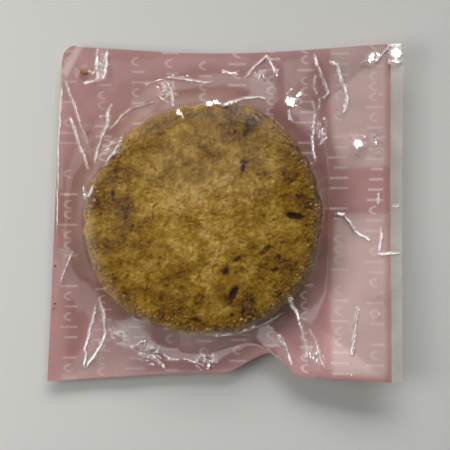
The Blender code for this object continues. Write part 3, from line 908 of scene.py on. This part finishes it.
# Browning: least at the palest place, more for each millimetre away, and more again in the outer ring
PALEST_X = -7.0
PALEST_Y = 5.5
LEAST_BROWNING = -0.07
BROWNING_PER_MM = 0.008
RING_BROWNING = 0.12
RING_START = 22.0
RING_BORDER = 12.0

# Painted shade in pits and dark hollows, painted light on the grains' tops with shade between them, and the
# side: paler, with painted light making it palest in front, the side that faces away from the lamps, but
# browner at the right
PIT_SHADE = 0.5
HOLLOW_SHADE = 1.4
GRAIN_PAINTED_SHADING = 0.15
SIDE_PALING = 0.15
FRONT_PAINTED_LIGHT = 0.2
RIGHT_BROWNING = 0.25
RIGHT_AZIMUTH = 30.0

# Soft patches of the crumb that are browner, or paler where negative: place, radius and strength. The pale
# patch at the rim's left is a painted highlight.
TOASTED_AND_HIGHLIT_REACH = 1.6
TOASTED_AND_HIGHLIT = (
    (17.5, 16.0, 9.0, 0.15),
    (19.5, 2.0, 8.0, 0.08),
    (1.5, 25.0, 8.0, 0.2),
    (-11.0, 26.0, 6.0, 0.16),
    (12.0, 23.0, 5.0, 0.03),
    (-19.0, 22.0, 7.0, 0.16),
    (12.5, -12.0, 5.0, 0.1),
    (3.5, -20.0, 5.0, 0.1),
    (-15.5, 9.0, 3.0, 0.1),
    (-29.5, 9.0, 8.0, 0.24),
    (-26.0, -2.0, 6.5, 0.23),
    # Painted highlight on the rim's left, where the film and crumb catch the light
    (-36.0, -3.0, 4.0, -0.3),
    (-8.0, -27.0, 7.0, 0.1),
    (10.0, 4.0, 7.0, 0.12),
    (6.0, 23.0, 5.0, 0.24),
    (19.5, 10.5, 5.0, 0.14),
    (-28.0, -9.0, 6.0, 0.14),
    (-7.0, 8.0, 5.0, 0.07),
    (-17.0, 0.0, 5.0, -0.07),
    (-18.5, 3.0, 8.0, -0.09),
    (16.5, -6.5, 4.0, -0.12),
    (3.5, 10.5, 5.0, -0.07),
    (-16.0, -11.0, 5.0, -0.06),
)


def hollow_depths(x, y):
    """Depth of the named hollows at each point of the face, and how much painted shade darkens them."""
    depth = np.zeros(len(x))
    dark = np.zeros(len(x))
    for place_x, place_y, half_length, half_width, turn, deep in HOLLOWS:
        c, s = math.cos(math.radians(turn)), math.sin(math.radians(turn))
        along = ((x - place_x) * c + (y - place_y) * s) / half_length
        across = ((y - place_y) * c - (x - place_x) * s) / half_width
        inside = np.hypot(along, across)
        depth = np.maximum(depth, deep * hump(inside, HOLLOW_REACH))
        dark = np.maximum(dark, (deep / DEEPEST_HOLLOW) ** 2 * hump(inside, DARK_REACH))
    return depth, dark


def pit_depths(x, y, draw):
    """Depth of the small random pits in the crumb."""
    depth = np.zeros(len(x))
    for _ in range(PIT_COUNT):
        reach = COOKIE_RADIUS * math.sqrt(draw.random())
        angle = draw.uniform(0, 2 * math.pi)
        place_x = COOKIE_X + reach * math.cos(angle)
        place_y = COOKIE_Y + reach * math.sin(angle)
        radius = draw.uniform(*PIT_RADII)
        deep = radius * draw.uniform(*PIT_DEPTHS)
        near = np.nonzero((np.abs(x - place_x) < radius) & (np.abs(y - place_y) < radius))[0]
        away = np.hypot(x[near] - place_x, y[near] - place_y)
        depth[near] = np.maximum(depth[near], deep * hump(away, radius))
    return depth


def cookie_form(ring, angle):
    """Points of the cookie's plain form: the inner rings make its face and the outer ones its side."""
    inner = np.clip(ring / COOKIE_FACE_SHARE, 0, 1)
    share = np.clip((ring - COOKIE_FACE_SHARE) / (1 - COOKIE_FACE_SHARE), 0, 1)
    inset, side_height = cookie_section(share)
    outline_radius = cookie_radius(angle)
    on_face = ring <= COOKIE_FACE_SHARE
    reach = np.where(on_face, (outline_radius - TOP_EDGE_RADIUS) * inner, outline_radius - inset)
    height = np.where(on_face, COOKIE_TOP - FACE_FALL * inner**2, side_height)
    return COOKIE_X + reach * np.cos(angle), COOKIE_Y + reach * np.sin(angle), height


def crumb_noise(points, size, shift=(0.0, 0.0, 0.0)):
    """Smooth random heights between about -1 and 1, with bumps of that size in millimetres."""
    return np.array([noise.noise(Vector(point) / size + Vector(shift)) for point in points])


def crumb_relief(points, grains, side, foot):
    """How far the crumb stands out of the plain form: further on the side, and not at all at the foot."""
    lumps = crumb_noise(points, LUMP_SIZE)
    ragged = crumb_noise(points, RAGGED_SIZE, RAGGED_SHIFT)
    relief = BROAD_RELIEF * crumb_noise(points, BROAD_SIZE) + LUMP_RELIEF * lumps + GRAIN_RELIEF * grains
    rough = SIDE_LUMPS * np.abs(lumps) + RAGGED_RELIEF * ragged
    return (relief * (1 + SIDE_GAIN * side) + side * rough) * (1 - foot)


def crumb_browning_and_light(x, y, angle, side):
    """How browned the baked surface is before its pits, hollows and grains, with painted light on the front
    of the side and a painted highlight at the rim's left.
    """
    out = np.hypot(x - PALEST_X, y - PALEST_Y)
    ring = RING_BROWNING * smooth((out - RING_START) / RING_BORDER)
    browning_and_shade = BROWNING_PER_MM * out + LEAST_BROWNING + ring
    for place_x, place_y, radius, strong in TOASTED_AND_HIGHLIT:
        away = np.hypot(x - place_x, y - place_y)
        browning_and_shade = browning_and_shade + strong * hump(away, TOASTED_AND_HIGHLIT_REACH * radius)
    front = np.clip(-np.sin(angle), 0, 1)
    right = np.clip(np.cos(angle - math.radians(RIGHT_AZIMUTH)), 0, 1) ** 2
    # Painted light makes the front of the side paler, the side that faces away from the lamps
    return browning_and_shade + side * (RIGHT_BROWNING * right - SIDE_PALING - FRONT_PAINTED_LIGHT * front)


def close_underside(mesh):
    """Closes the cookie's underside with one flat face."""
    shape = bmesh.new()
    shape.from_mesh(mesh)
    bmesh.ops.contextual_create(shape, geom=[edge for edge in shape.edges if edge.is_boundary])
    bmesh.ops.recalc_face_normals(shape, faces=shape.faces)
    shape.to_mesh(mesh)
    shape.free()


def make_cookie():
    """The cookie: its form, crumb relief and pits, with how browned each point is and the painted light and
    shade on it.
    """
    mesh, u, v = grid_mesh("cookie_crumb", COOKIE_CELLS, COOKIE_CELLS)
    ring, angle = round_direction(u, v)
    x, y, height = cookie_form(ring, angle)
    side = smooth((ring - COOKIE_FACE_SHARE) / SIDE_BORDER)
    foot = smooth((ring - FOOT_START) / FOOT_BORDER)
    points = np.stack([x, y, height], axis=1)
    grains = crumb_noise(points, GRAIN_SIZE, GRAIN_SHIFT)
    pits = pit_depths(x, y, random.Random(3)) * (1 - side)
    hollow, dark = hollow_depths(x, y)
    relief = crumb_relief(points, grains, side, foot) - pits - hollow * (1 - side)
    x = x + relief * side * np.cos(angle)
    y = y + relief * side * np.sin(angle)
    place_points(mesh, x, y, height + relief * (1 - side))
    # Painted shade in pits and hollows, and painted light on grain tops with shade between them
    browning_and_shade = crumb_browning_and_light(x, y, angle, side) + PIT_SHADE * pits
    set_numbers(mesh, "browning_and_shade", browning_and_shade + HOLLOW_SHADE * dark - GRAIN_PAINTED_SHADING * grains)
    close_underside(mesh)
    return add_piece("cookie_crumb", mesh, baked_crumb())


# Coconut: how many shapes of each kind, a grain's unevenness, and a shred's sides as shares of its length
FLAKE_SHAPES = 6
GRAIN_UNEVENNESS = 0.35
SHRED_SIDES = (1.0, 0.28, 0.16)
SHRED_TAPER = 2.0
MOST_BENT = 0.5

# Coconut on the cookie: how many, sizes, shades from bare to toasted, and how deep each is sunk
RIM_GRAINS = 700
RIM_GRAIN_SIZES = (0.22, 0.5)
RIM_GRAIN_SHADES = (0.25, 0.7)
RIM_GRAIN_LOWEST = 0.55
RIM_GRAIN_INSET = 0.1
GRAIN_SINK = 0.1
SHREDS = 130
SHRED_LENGTHS = (0.7, 1.6)
SHRED_SHADES = (0.3, 0.7)
SHRED_SINK = 0.07
SHRED_TILT = 0.3
SHRED_SLOPE = 0.12
CLEAR_OF_HOLLOW = 0.8
DARK_GRAINS = 130
DARK_GRAIN_SIZES = (0.15, 0.3)
DARK_GRAIN_SHADES = (0.55, 0.8)


def grain_mesh(draw):
    """An uneven grain of radius 1."""
    shape = bmesh.new()
    bmesh.ops.create_icosphere(shape, subdivisions=2, radius=1.0)
    for vert in shape.verts:
        place = vert.co * 1.3 + Vector((draw.uniform(0, 50), 0, 0))
        vert.co *= 1 + GRAIN_UNEVENNESS * noise.noise(place)
    return new_mesh("grain", shape)


def shred_mesh(draw):
    """A bent shred of length 1 that narrows to its ends."""
    shape = bmesh.new()
    bmesh.ops.create_cube(shape, size=1.0, matrix=Matrix.Diagonal((*SHRED_SIDES, 1.0)))
    long_edges = [edge for edge in shape.edges if abs(edge.verts[0].co.x - edge.verts[1].co.x) > 0.5]
    bmesh.ops.subdivide_edges(shape, edges=long_edges, cuts=3)
    bend = draw.uniform(-MOST_BENT, MOST_BENT)
    for vert in shape.verts:
        vert.co.y = vert.co.y * (1 - SHRED_TAPER * vert.co.x**2) + bend * vert.co.x**2
    return new_mesh("shred", shape)


def face_place(draw):
    """A random place on the cookie's face, and the face's height there."""
    reach = (COOKIE_RADIUS - TOP_EDGE_RADIUS) * math.sqrt(draw.random())
    angle = draw.uniform(0, 2 * math.pi)
    height = COOKIE_TOP - FACE_FALL * (reach / (COOKIE_RADIUS - TOP_EDGE_RADIUS)) ** 2
    return COOKIE_X + reach * math.cos(angle), COOKIE_Y + reach * math.sin(angle), height


def tumbled(draw):
    return Euler([draw.uniform(0, math.pi) for _ in range(3)])


def set_down(place, turn, size):
    """Matrix that gives a flake its size in millimetres, turns it and puts it in its place."""
    return Matrix.Translation(Vector(place) * MM) @ turn.to_matrix().to_4x4() @ Matrix.Scale(size * MM, 4)


def scatter_coconut(finish):
    """Grains crowd the cookie's rim and shreds lie in its face, each half sunk in the crumb."""
    draw = random.Random(8)
    grains = [grain_mesh(draw) for _ in range(FLAKE_SHAPES)]
    shreds = [shred_mesh(draw) for _ in range(FLAKE_SHAPES)]
    shapes = []
    for _ in range(RIM_GRAINS):
        angle = draw.uniform(0, 2 * math.pi)
        share = draw.uniform(0.0, RIM_GRAIN_LOWEST)
        inset, height = cookie_section(np.array([share]))
        size = draw.uniform(*RIM_GRAIN_SIZES)
        reach = float(cookie_radius(angle) - inset[0]) - RIM_GRAIN_INSET * size
        x, y = COOKIE_X + reach * math.cos(angle), COOKIE_Y + reach * math.sin(angle)
        matrix = set_down((x, y, float(height[0]) - GRAIN_SINK), tumbled(draw), size)
        shapes.append((draw.choice(grains), matrix, draw.uniform(*RIM_GRAIN_SHADES)))
    for _ in range(SHREDS):
        x, y, height = face_place(draw)
        if any(math.dist((x, y), hollow[:2]) < hollow[2] + CLEAR_OF_HOLLOW for hollow in HOLLOWS):
            continue
        tilt = draw.uniform(-SHRED_TILT, SHRED_TILT)
        slope = draw.uniform(-SHRED_SLOPE, SHRED_SLOPE)
        turn = Euler((tilt, slope, draw.uniform(0, 2 * math.pi)))
        matrix = set_down((x, y, height - SHRED_SINK), turn, draw.uniform(*SHRED_LENGTHS))
        shapes.append((draw.choice(shreds), matrix, draw.uniform(*SHRED_SHADES)))
    for _ in range(DARK_GRAINS):
        x, y, height = face_place(draw)
        turn = tumbled(draw)
        matrix = set_down((x, y, height - GRAIN_SINK), turn, draw.uniform(*DARK_GRAIN_SIZES))
        shapes.append((draw.choice(grains), matrix, draw.uniform(*DARK_GRAIN_SHADES)))
    return join_shapes("coconut_grains_and_shreds", shapes, finish)


# Crumbs shaken off in the bag: half their sides as shares of the length, how high each lies, and the
# height and reach of the tent of clear film over it
CRUMB_SIDES = (0.5, 0.28, 0.2)
CRUMB_LIFT = 0.18
CRUMB_WAY = 0.85
TENT_HEIGHT = 0.45
TENT_REACH = 1.6

# Crumbs shaken off in the bag: place, length, turn in degrees, and how toasted
LOOSE_CRUMBS = (
    (-36.5, 36.4, 2.1, -22, 0.6),
    (-35.5, 20.9, 0.9, 40, 0.5),
    (-43.9, -13.7, 0.7, 80, 1.0),
    (-44.0, -23.5, 0.7, 10, 1.0),
    (-44.3, -24.8, 0.6, 60, 1.0),
    (-31.0, 24.5, 0.5, 15, 0.6),
    (-14.3, 30.2, 0.6, 75, 0.7),
    (24.8, 11.9, 0.5, 20, 0.8),
)


def scatter_crumbs(finish):
    """Loose crumbs between the two films, in the corners and against the weld."""
    draw = random.Random(21)
    shapes = []
    for x, y, length, turn, toasted in LOOSE_CRUMBS:
        place = Vector((x, y, film_height(x, y) + CRUMB_LIFT * length))
        turned = Matrix.Rotation(math.radians(turn), 4, "Z")
        size = Matrix.Diagonal((*(side * length * MM for side in CRUMB_SIDES), 1.0))
        shapes.append((grain_mesh(draw), Matrix.Translation(place * MM) @ turned @ size, toasted))
    return join_shapes("loose_crumbs", shapes, finish)


# Films


def crumpling(x, y):
    """Strength of the crumples: none where the film is taut."""
    strength = np.zeros(len(x))
    for place_x, place_y, radius, strong in CRUMPLES:
        strength = np.maximum(strength, strong * hump(np.hypot(x - place_x, y - place_y), radius))
    return strength


def crushed(x, y, pitch, seed):
    """Heights from 0 to 1 of straight folds between flat facets about that far across."""
    draw = random.Random(seed)
    columns, rows = int(BAG_WIDTH / pitch) + 2, int(BAG_HEIGHT / pitch) + 2
    knots = [
        ((column - columns / 2 + draw.random()) * pitch, (row - rows / 2 + draw.random()) * pitch)
        for column in range(columns)
        for row in range(rows)
    ]
    knots = np.array(knots)
    height = np.zeros(len(x))
    for start in range(0, len(x), POINTS_AT_ONCE):
        part = slice(start, start + POINTS_AT_ONCE)
        away = np.hypot(x[part, None] - knots[None, :, 0], y[part, None] - knots[None, :, 1])
        nearest = np.partition(away, 1, axis=1)
        height[part] = 1 - np.clip((nearest[:, 1] - nearest[:, 0]) / (FACET_FLAT * pitch), 0, 1)
    return height


def film_height(x, y):
    """Height of the printed film near the bag's edge, where the loose crumbs lie."""
    place_x, place_y = np.array([x]), np.array([y])
    return float((back_form(place_x, place_y, CRUMB_WAY) + tension(place_x, place_y, CRUMB_WAY))[0])


def tension(x, y, way):
    """Soft swells that both films share outside the cookie."""
    swells = sum(height * fields(x, y, size, seed) for height, size, seed in SWELLS)
    return smooth(way * SWELL_ONSET) * swells


def inside_patch(x, y, corners, softness):
    """1 inside a patch and 0 outside, with a border that soft."""
    inside = np.zeros(len(x), bool)
    nearest = np.full(len(x), 1e9)
    for (ax, ay), (bx, by) in zip(corners, corners[1:] + corners[:1]):
        crossing = (ay > y) != (by > y)
        at = ax + (y - ay) * (bx - ax) / np.where(by == ay, 1e-9, by - ay)
        inside ^= crossing & (x < at)
        length = math.dist((ax, ay), (bx, by))
        share = np.clip(((x - ax) * (bx - ax) + (y - ay) * (by - ay)) / length**2, 0, 1)
        nearest = np.minimum(nearest, np.hypot(x - ax - share * (bx - ax), y - ay - share * (by - ay)))
    return smooth(0.5 + np.where(inside, nearest, -nearest) / softness)


def shade_round_cookie(x, y):
    """How much painted shade darkens the print round the cookie: most at its sides, and widest on the left.
    """
    out = np.hypot(x - COOKIE_X, y - COOKIE_Y) - COOKIE_RADIUS
    sides = np.abs(x - COOKIE_X) / np.maximum(out + COOKIE_RADIUS, 1)
    reach = COOKIE_SHADE_REACH + COOKIE_SHADE_LEFT_REACH * smooth((COOKIE_X - COOKIE_SHADE_LEFT_START - x) / COOKIE_SHADE_LEFT_BORDER)
    strength = COOKIE_SHADE_STRENGTH + COOKIE_SHADE_SIDE_STRENGTH * sides
    uneven, size, seed = COOKIE_SHADE_CLOUDS
    clouds = 1 + uneven * fields(x, y, size, seed)
    return np.clip(strength * (1 - smooth((out - COOKIE_SHADE_START) / reach)) * clouds, 0, 1)


def make_printed_film():
    """The printed back film, with its patches of painted highlight, reflection and shade, and the painted
    shade round the cookie.
    """
    mesh, u, v = grid_mesh("printed_back_film", BACK_CELLS, BACK_CELLS)
    x, y, way, _, _ = bag_places(u, v)
    place_points(mesh, x, y, back_form(x, y, way) + tension(x, y, way))
    pale = np.zeros(len(x))
    for strong, softness, corners in PRINT_LIGHT_AND_SHADE_PATCHES:
        pale = pale + strong * inside_patch(x, y, corners, softness)
    set_numbers(mesh, "pale", pale)
    set_numbers(mesh, "shaded_by_cookie", shade_round_cookie(x, y))
    return add_piece("printed_back_film", mesh, printed_film())


def lamp_slopes(place_x, place_y):
    """Slopes, along x and y, of a facet there that mirrors the lamp to someone who looks down on the bag."""
    place = Vector((place_x, place_y, FLANGE_LOW))
    to_eye = (Vector((*VIEW_CENTRE, CAMERA_HEIGHT)) - place).normalized()
    to_lamp = (away_direction(LAMP_AZIMUTH, LAMP_POLAR) * LAMP_DISTANCE - place).normalized()
    halfway = to_eye + to_lamp
    return -halfway.x / halfway.z, -halfway.y / halfway.z


def crease_film(x, y, height, border):
    """Folds the film along its creases. Returns its points and the painted highlight along each fold, wider
    on the flank that faces the windows.
    """
    draw = random.Random(14)
    creases = [(strong, bent_route(route, draw)) for strong, route in CREASES]
    for _, route in creases:
        near = beside_route(x, y, route, CREST_REACH)
        on_x, on_y, distance, _ = nearest_on(route, x[near], y[near])
        pulled = (distance < CREST_REACH) & ~border[near]
        x[near], y[near] = np.where(pulled, on_x, x[near]), np.where(pulled, on_y, y[near])
    fold_highlight = np.zeros(len(x))
    broken = fields(x, y, *LINE_BREAKS)
    uneven = fields(x, y, *FOLD_BUMPS)
    for strong, route in creases:
        near = beside_route(x, y, route, FOLD_REACH)
        on_x, on_y, distance, along = nearest_on(route, x[near], y[near])
        ends = smooth(np.minimum(along, 1 - along) / FADING_SHARE + LEAST_END)
        lit = y[near] - on_y > LIT_SLANT * (x[near] - on_x)
        half = FOLD_HALF_WIDTH + STRONG_FOLD_WIDENING * strong
        fold = np.clip(1 - distance / np.where(lit, LIT_WIDENING * half, half), 0, 1) * ends
        crest = FOLD_SLOPE * LIT_WIDENING * half * smooth(2 * strong)
        height[near] += crest * fold * (1 + FOLD_UNEVENNESS * uneven[near])
        # The painted highlight line: wider on the flank that faces the windows
        line = np.where(lit, LIT_LINE + STRONG_LINE_WIDENING * strong, SHADED_LINE)
        white = ends * (1 - smooth(distance / line)) * np.clip(LINE_MEAN + broken[near], *LINE_BOUNDS)
        fold_highlight[near] = np.maximum(fold_highlight[near], smooth(LINE_GAIN * strong) * white)
    return x, y, height, fold_highlight


def set_glints(x, y, height, landed):
    """Turns the film's small facets towards the lamp."""
    for place_x, place_y, radius in GLINTS:
        near = np.nonzero((np.abs(x - place_x) < 2 * radius) & (np.abs(y - place_y) < 2 * radius))[0]
        off_x, off_y = x[near] - place_x, y[near] - place_y
        ragged = fields(x[near], y[near], GLINT_RAGGED_SIZE, place_x)
        away = np.hypot(off_x, off_y) * (1 + GLINT_RAGGED * ragged)
        flat = 1 - smooth((away / radius - GLINT_FLAT) / GLINT_BORDER)
        slope_x, slope_y = lamp_slopes(place_x, place_y)
        facet = height[near][np.argmin(away)] + slope_x * off_x + slope_y * off_y
        facet = facet + max(0.0, np.max((landed[near] + WELD_GAP - facet)[flat > 0.5]))
        height[near] += flat * (facet - height[near])
    return height


def crumple_film(x, y, height, fold_highlight):
    """Adds the crumples' small facets, with painted highlight lines between them."""
    strength = crumpling(x, y)
    busy = np.nonzero(strength > LEAST_CRUMPLE)[0]
    busy_x, busy_y = x[busy], y[busy]
    folds = sum(high * crushed(busy_x, busy_y, pitch, seed) for high, pitch, seed in CRUMPLE_FOLDS)
    height[busy] += strength[busy] * (folds - CRUMPLE_SINK)
    lines = np.zeros(len(busy))
    for pitch, seed in CRUMPLE_LINES:
        lines = np.maximum(lines, crushed(busy_x, busy_y, pitch, seed))
    # Painted highlight lines between the crumples' facets
    white = CRUMPLE_HIGHLIGHT * strength[busy] * lines**CRUMPLE_LINE_POWER
    fold_highlight[busy] = np.maximum(fold_highlight[busy], white)


def film_sheen(x, y, slack):
    """How much painted sheen the film carries, standing in for its reflections: where it is slack, in a ring
    round the cookie and in patches.
    """
    off_rim = np.hypot(x - COOKIE_X, y - COOKIE_Y) - COOKIE_RADIUS - RIM_MARGIN / 2
    upper_left = np.clip((y - COOKIE_Y - x + COOKIE_X) / UPPER_LEFT_REACH, 0, 1)
    ring = (RIM_SHEEN + UPPER_LEFT_SHEEN * upper_left) * hump(off_rim, RIM_SHEEN_REACH)
    painted_sheen = LEAST_SHEEN + SLACK_SHEEN * slack + ring
    for strong, softness, corners in PAINTED_SHEEN_PATCHES:
        painted_sheen = np.maximum(painted_sheen, PATCH_SHEEN * strong * inside_patch(x, y, corners, softness))
    uneven, size, seed = SHEEN_CLOUDS
    return painted_sheen * (1 + uneven * fields(x, y, size, seed))


def make_clear_film():
    """The clear front film, with its creases, glinting facets and crumples, and the lip past the print."""
    columns = FILM_CELLS + LIP_CELLS
    mesh, u, v = grid_mesh("clear_front_film", columns, FILM_CELLS)
    u = (u + 1) * columns / FILM_CELLS - 1
    x, y, way, share, inner = bag_places(u, v)
    landed = back_form(x, y, way) + tension(x, y, way) + WELD_GAP
    x, y = lip_places(u, v, x, y)
    taut = COOKIE_TOP + CLEAR_OF_CRUMB - FACE_FALL * inner**2
    taut = taut - RIM_DROP * smooth((inner - RIM_DROP_START) / RIM_DROP_BORDER)
    height = landed + (taut - landed) * (1 - share) ** DRAPE
    border = np.maximum(np.abs(np.clip(u, -1, 1)), np.abs(v)) > BORDER_START
    x, y, height, fold_highlight = crease_film(x, y, height, border)
    crumple_film(x, y, height, fold_highlight)
    slack = smooth(way * SLACK_ONSET)
    for high, size, seed, where in ((*FINE_RIPPLE, 1.0), (*SLACK_RIPPLE, slack)):
        height = height + high * where * fields(x, y, size, seed)
    height = np.maximum(set_glints(x, y, height, landed), landed)
    for place_x, place_y, length, _, _ in LOOSE_CRUMBS:
        away = np.hypot(x - place_x, y - place_y)
        height = height + TENT_HEIGHT * length * hump(away, TENT_REACH * length)
    place_points(mesh, x, y, height)
    # Painted sheen, and painted highlights along the folds
    painted_sheen = np.maximum(film_sheen(x, y, slack), FOLD_HIGHLIGHT_GAIN * fold_highlight)
    set_numbers(mesh, "painted_sheen", np.clip(painted_sheen, 0, 1))
    set_numbers(mesh, "fold_highlight", np.clip(fold_highlight, 0, 1))
    corners = np.empty(len(mesh.loops), np.int32)
    mesh.loops.foreach_get("vertex_index", corners)
    sharpest = fold_highlight[corners.reshape(-1, 4)].max(axis=1)
    mesh.polygons.foreach_set("use_smooth", sharpest < LEAST_FLAT_FOLD)
    return add_piece("clear_front_film", mesh, clear_film())


# Stage, lamps and camera

# Lamps that light the bag: azimuth and angle off the vertical, distance and sides in metres, and radiance
WINDOWS = (
    ("window", 88.0, 60.0, 2.5, (2.4, 0.9), 7.2),
    ("side_window", 182.0, 53.0, 0.38, (0.22, 0.14), 5.4),
)
ROOM_STRENGTH = 0.13

# Lamps that only show mirrored in glossy surfaces, given in the same way
REFLECTIONS = (
    ("ceiling", 90.0, 29.0, 1.0, (0.8, 0.4), 0.7),
    ("spot", LAMP_AZIMUTH, LAMP_POLAR, LAMP_DISTANCE * MM, (0.08, 0.08), 32.0),
    ("glow_back", 90.0, 70.0, 0.8, (0.9, 0.34), 2.0),
    ("glow_left", 180.0, 70.0, 0.8, (0.9, 0.34), 1.6),
    ("glow_front", 270.0, 70.0, 0.8, (0.9, 0.34), 2.8),
    ("glow_right", 0.0, 70.0, 0.8, (0.9, 0.34), 2.2),
    ("spot_left", 150.0, 60.0, 0.8, (0.05, 0.05), 32.0),
    ("spot_top", 97.0, 52.0, 0.8, (0.05, 0.05), 32.0),
    ("spot_bottom", 265.0, 56.0, 0.8, (0.05, 0.05), 24.0),
)


def make_floor():
    bpy.ops.mesh.primitive_plane_add(size=2.4)
    floor = bpy.context.object
    floor.name = "table"
    made, tree, output = new_material("pale laminate")
    shader = node(tree, "BsdfPrincipled", {"Base Color": colour("#E4E4DF"), "Roughness": 0.6})
    tree.links.new(shader.outputs[0], output.inputs["Surface"])
    floor.data.materials.append(made)
    return floor


def away_direction(azimuth, polar):
    around, down = math.radians(azimuth), math.radians(polar)
    return Vector((math.cos(around) * math.sin(down), math.sin(around) * math.sin(down), math.cos(down)))


def add_lamp(name, azimuth, polar, distance, size, radiance, lights):
    """A flat lamp that faces the bag. It lights the bag and isn't mirrored, or the other way round."""
    lamp = bpy.data.lights.new(name, "AREA")
    lamp.shape = "RECTANGLE"
    lamp.size, lamp.size_y = size
    lamp.energy = radiance * math.pi * size[0] * size[1]
    holder = bpy.data.objects.new(name, lamp)
    bpy.context.scene.collection.objects.link(holder)
    away = away_direction(azimuth, polar)
    holder.location = away * distance
    holder.rotation_euler = away.to_track_quat("Z", "Y").to_euler()
    holder.visible_camera = False
    holder.visible_glossy = not lights
    holder.visible_diffuse = lights


def light_scene():
    world = bpy.data.worlds.new("room")
    world.use_nodes = True
    world.node_tree.nodes["Background"].inputs["Color"].default_value = colour("#F4F5F5")
    world.node_tree.nodes["Background"].inputs["Strength"].default_value = ROOM_STRENGTH
    bpy.context.scene.world = world
    for lamp in WINDOWS:
        add_lamp(*lamp, lights=True)
    for lamp in REFLECTIONS:
        add_lamp(*lamp, lights=False)


def make_camera():
    camera = bpy.data.cameras.new("overhead")
    camera.clip_start = 0.01
    camera.angle = 2 * math.atan(VIEW_WIDTH / 2 / (CAMERA_HEIGHT - VIEW_PLANE))
    holder = bpy.data.objects.new("overhead", camera)
    holder.location = Vector((*VIEW_CENTRE, CAMERA_HEIGHT)) * MM
    bpy.context.scene.collection.objects.link(holder)
    bpy.context.scene.camera = holder


def main():
    bpy.context.scene.view_settings.view_transform = "Standard"
    make_camera()
    light_scene()
    make_floor()
    coconut = coconut_flesh()
    cookie = make_cookie()
    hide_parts("cookie")
    flakes = scatter_coconut(coconut)
    crumbs = scatter_crumbs(coconut)
    back = make_printed_film()
    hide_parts("printed_back")
    front = make_clear_film()
    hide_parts("clear_front")
    for piece, slot in (
        (cookie, "baked_crumb"),
        (flakes, "baked_crumb"),
        (crumbs, "baked_crumb"),
        (back, "printed_film"),
        (front, "clear_film"),
    ):
        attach(piece, "root")


main()
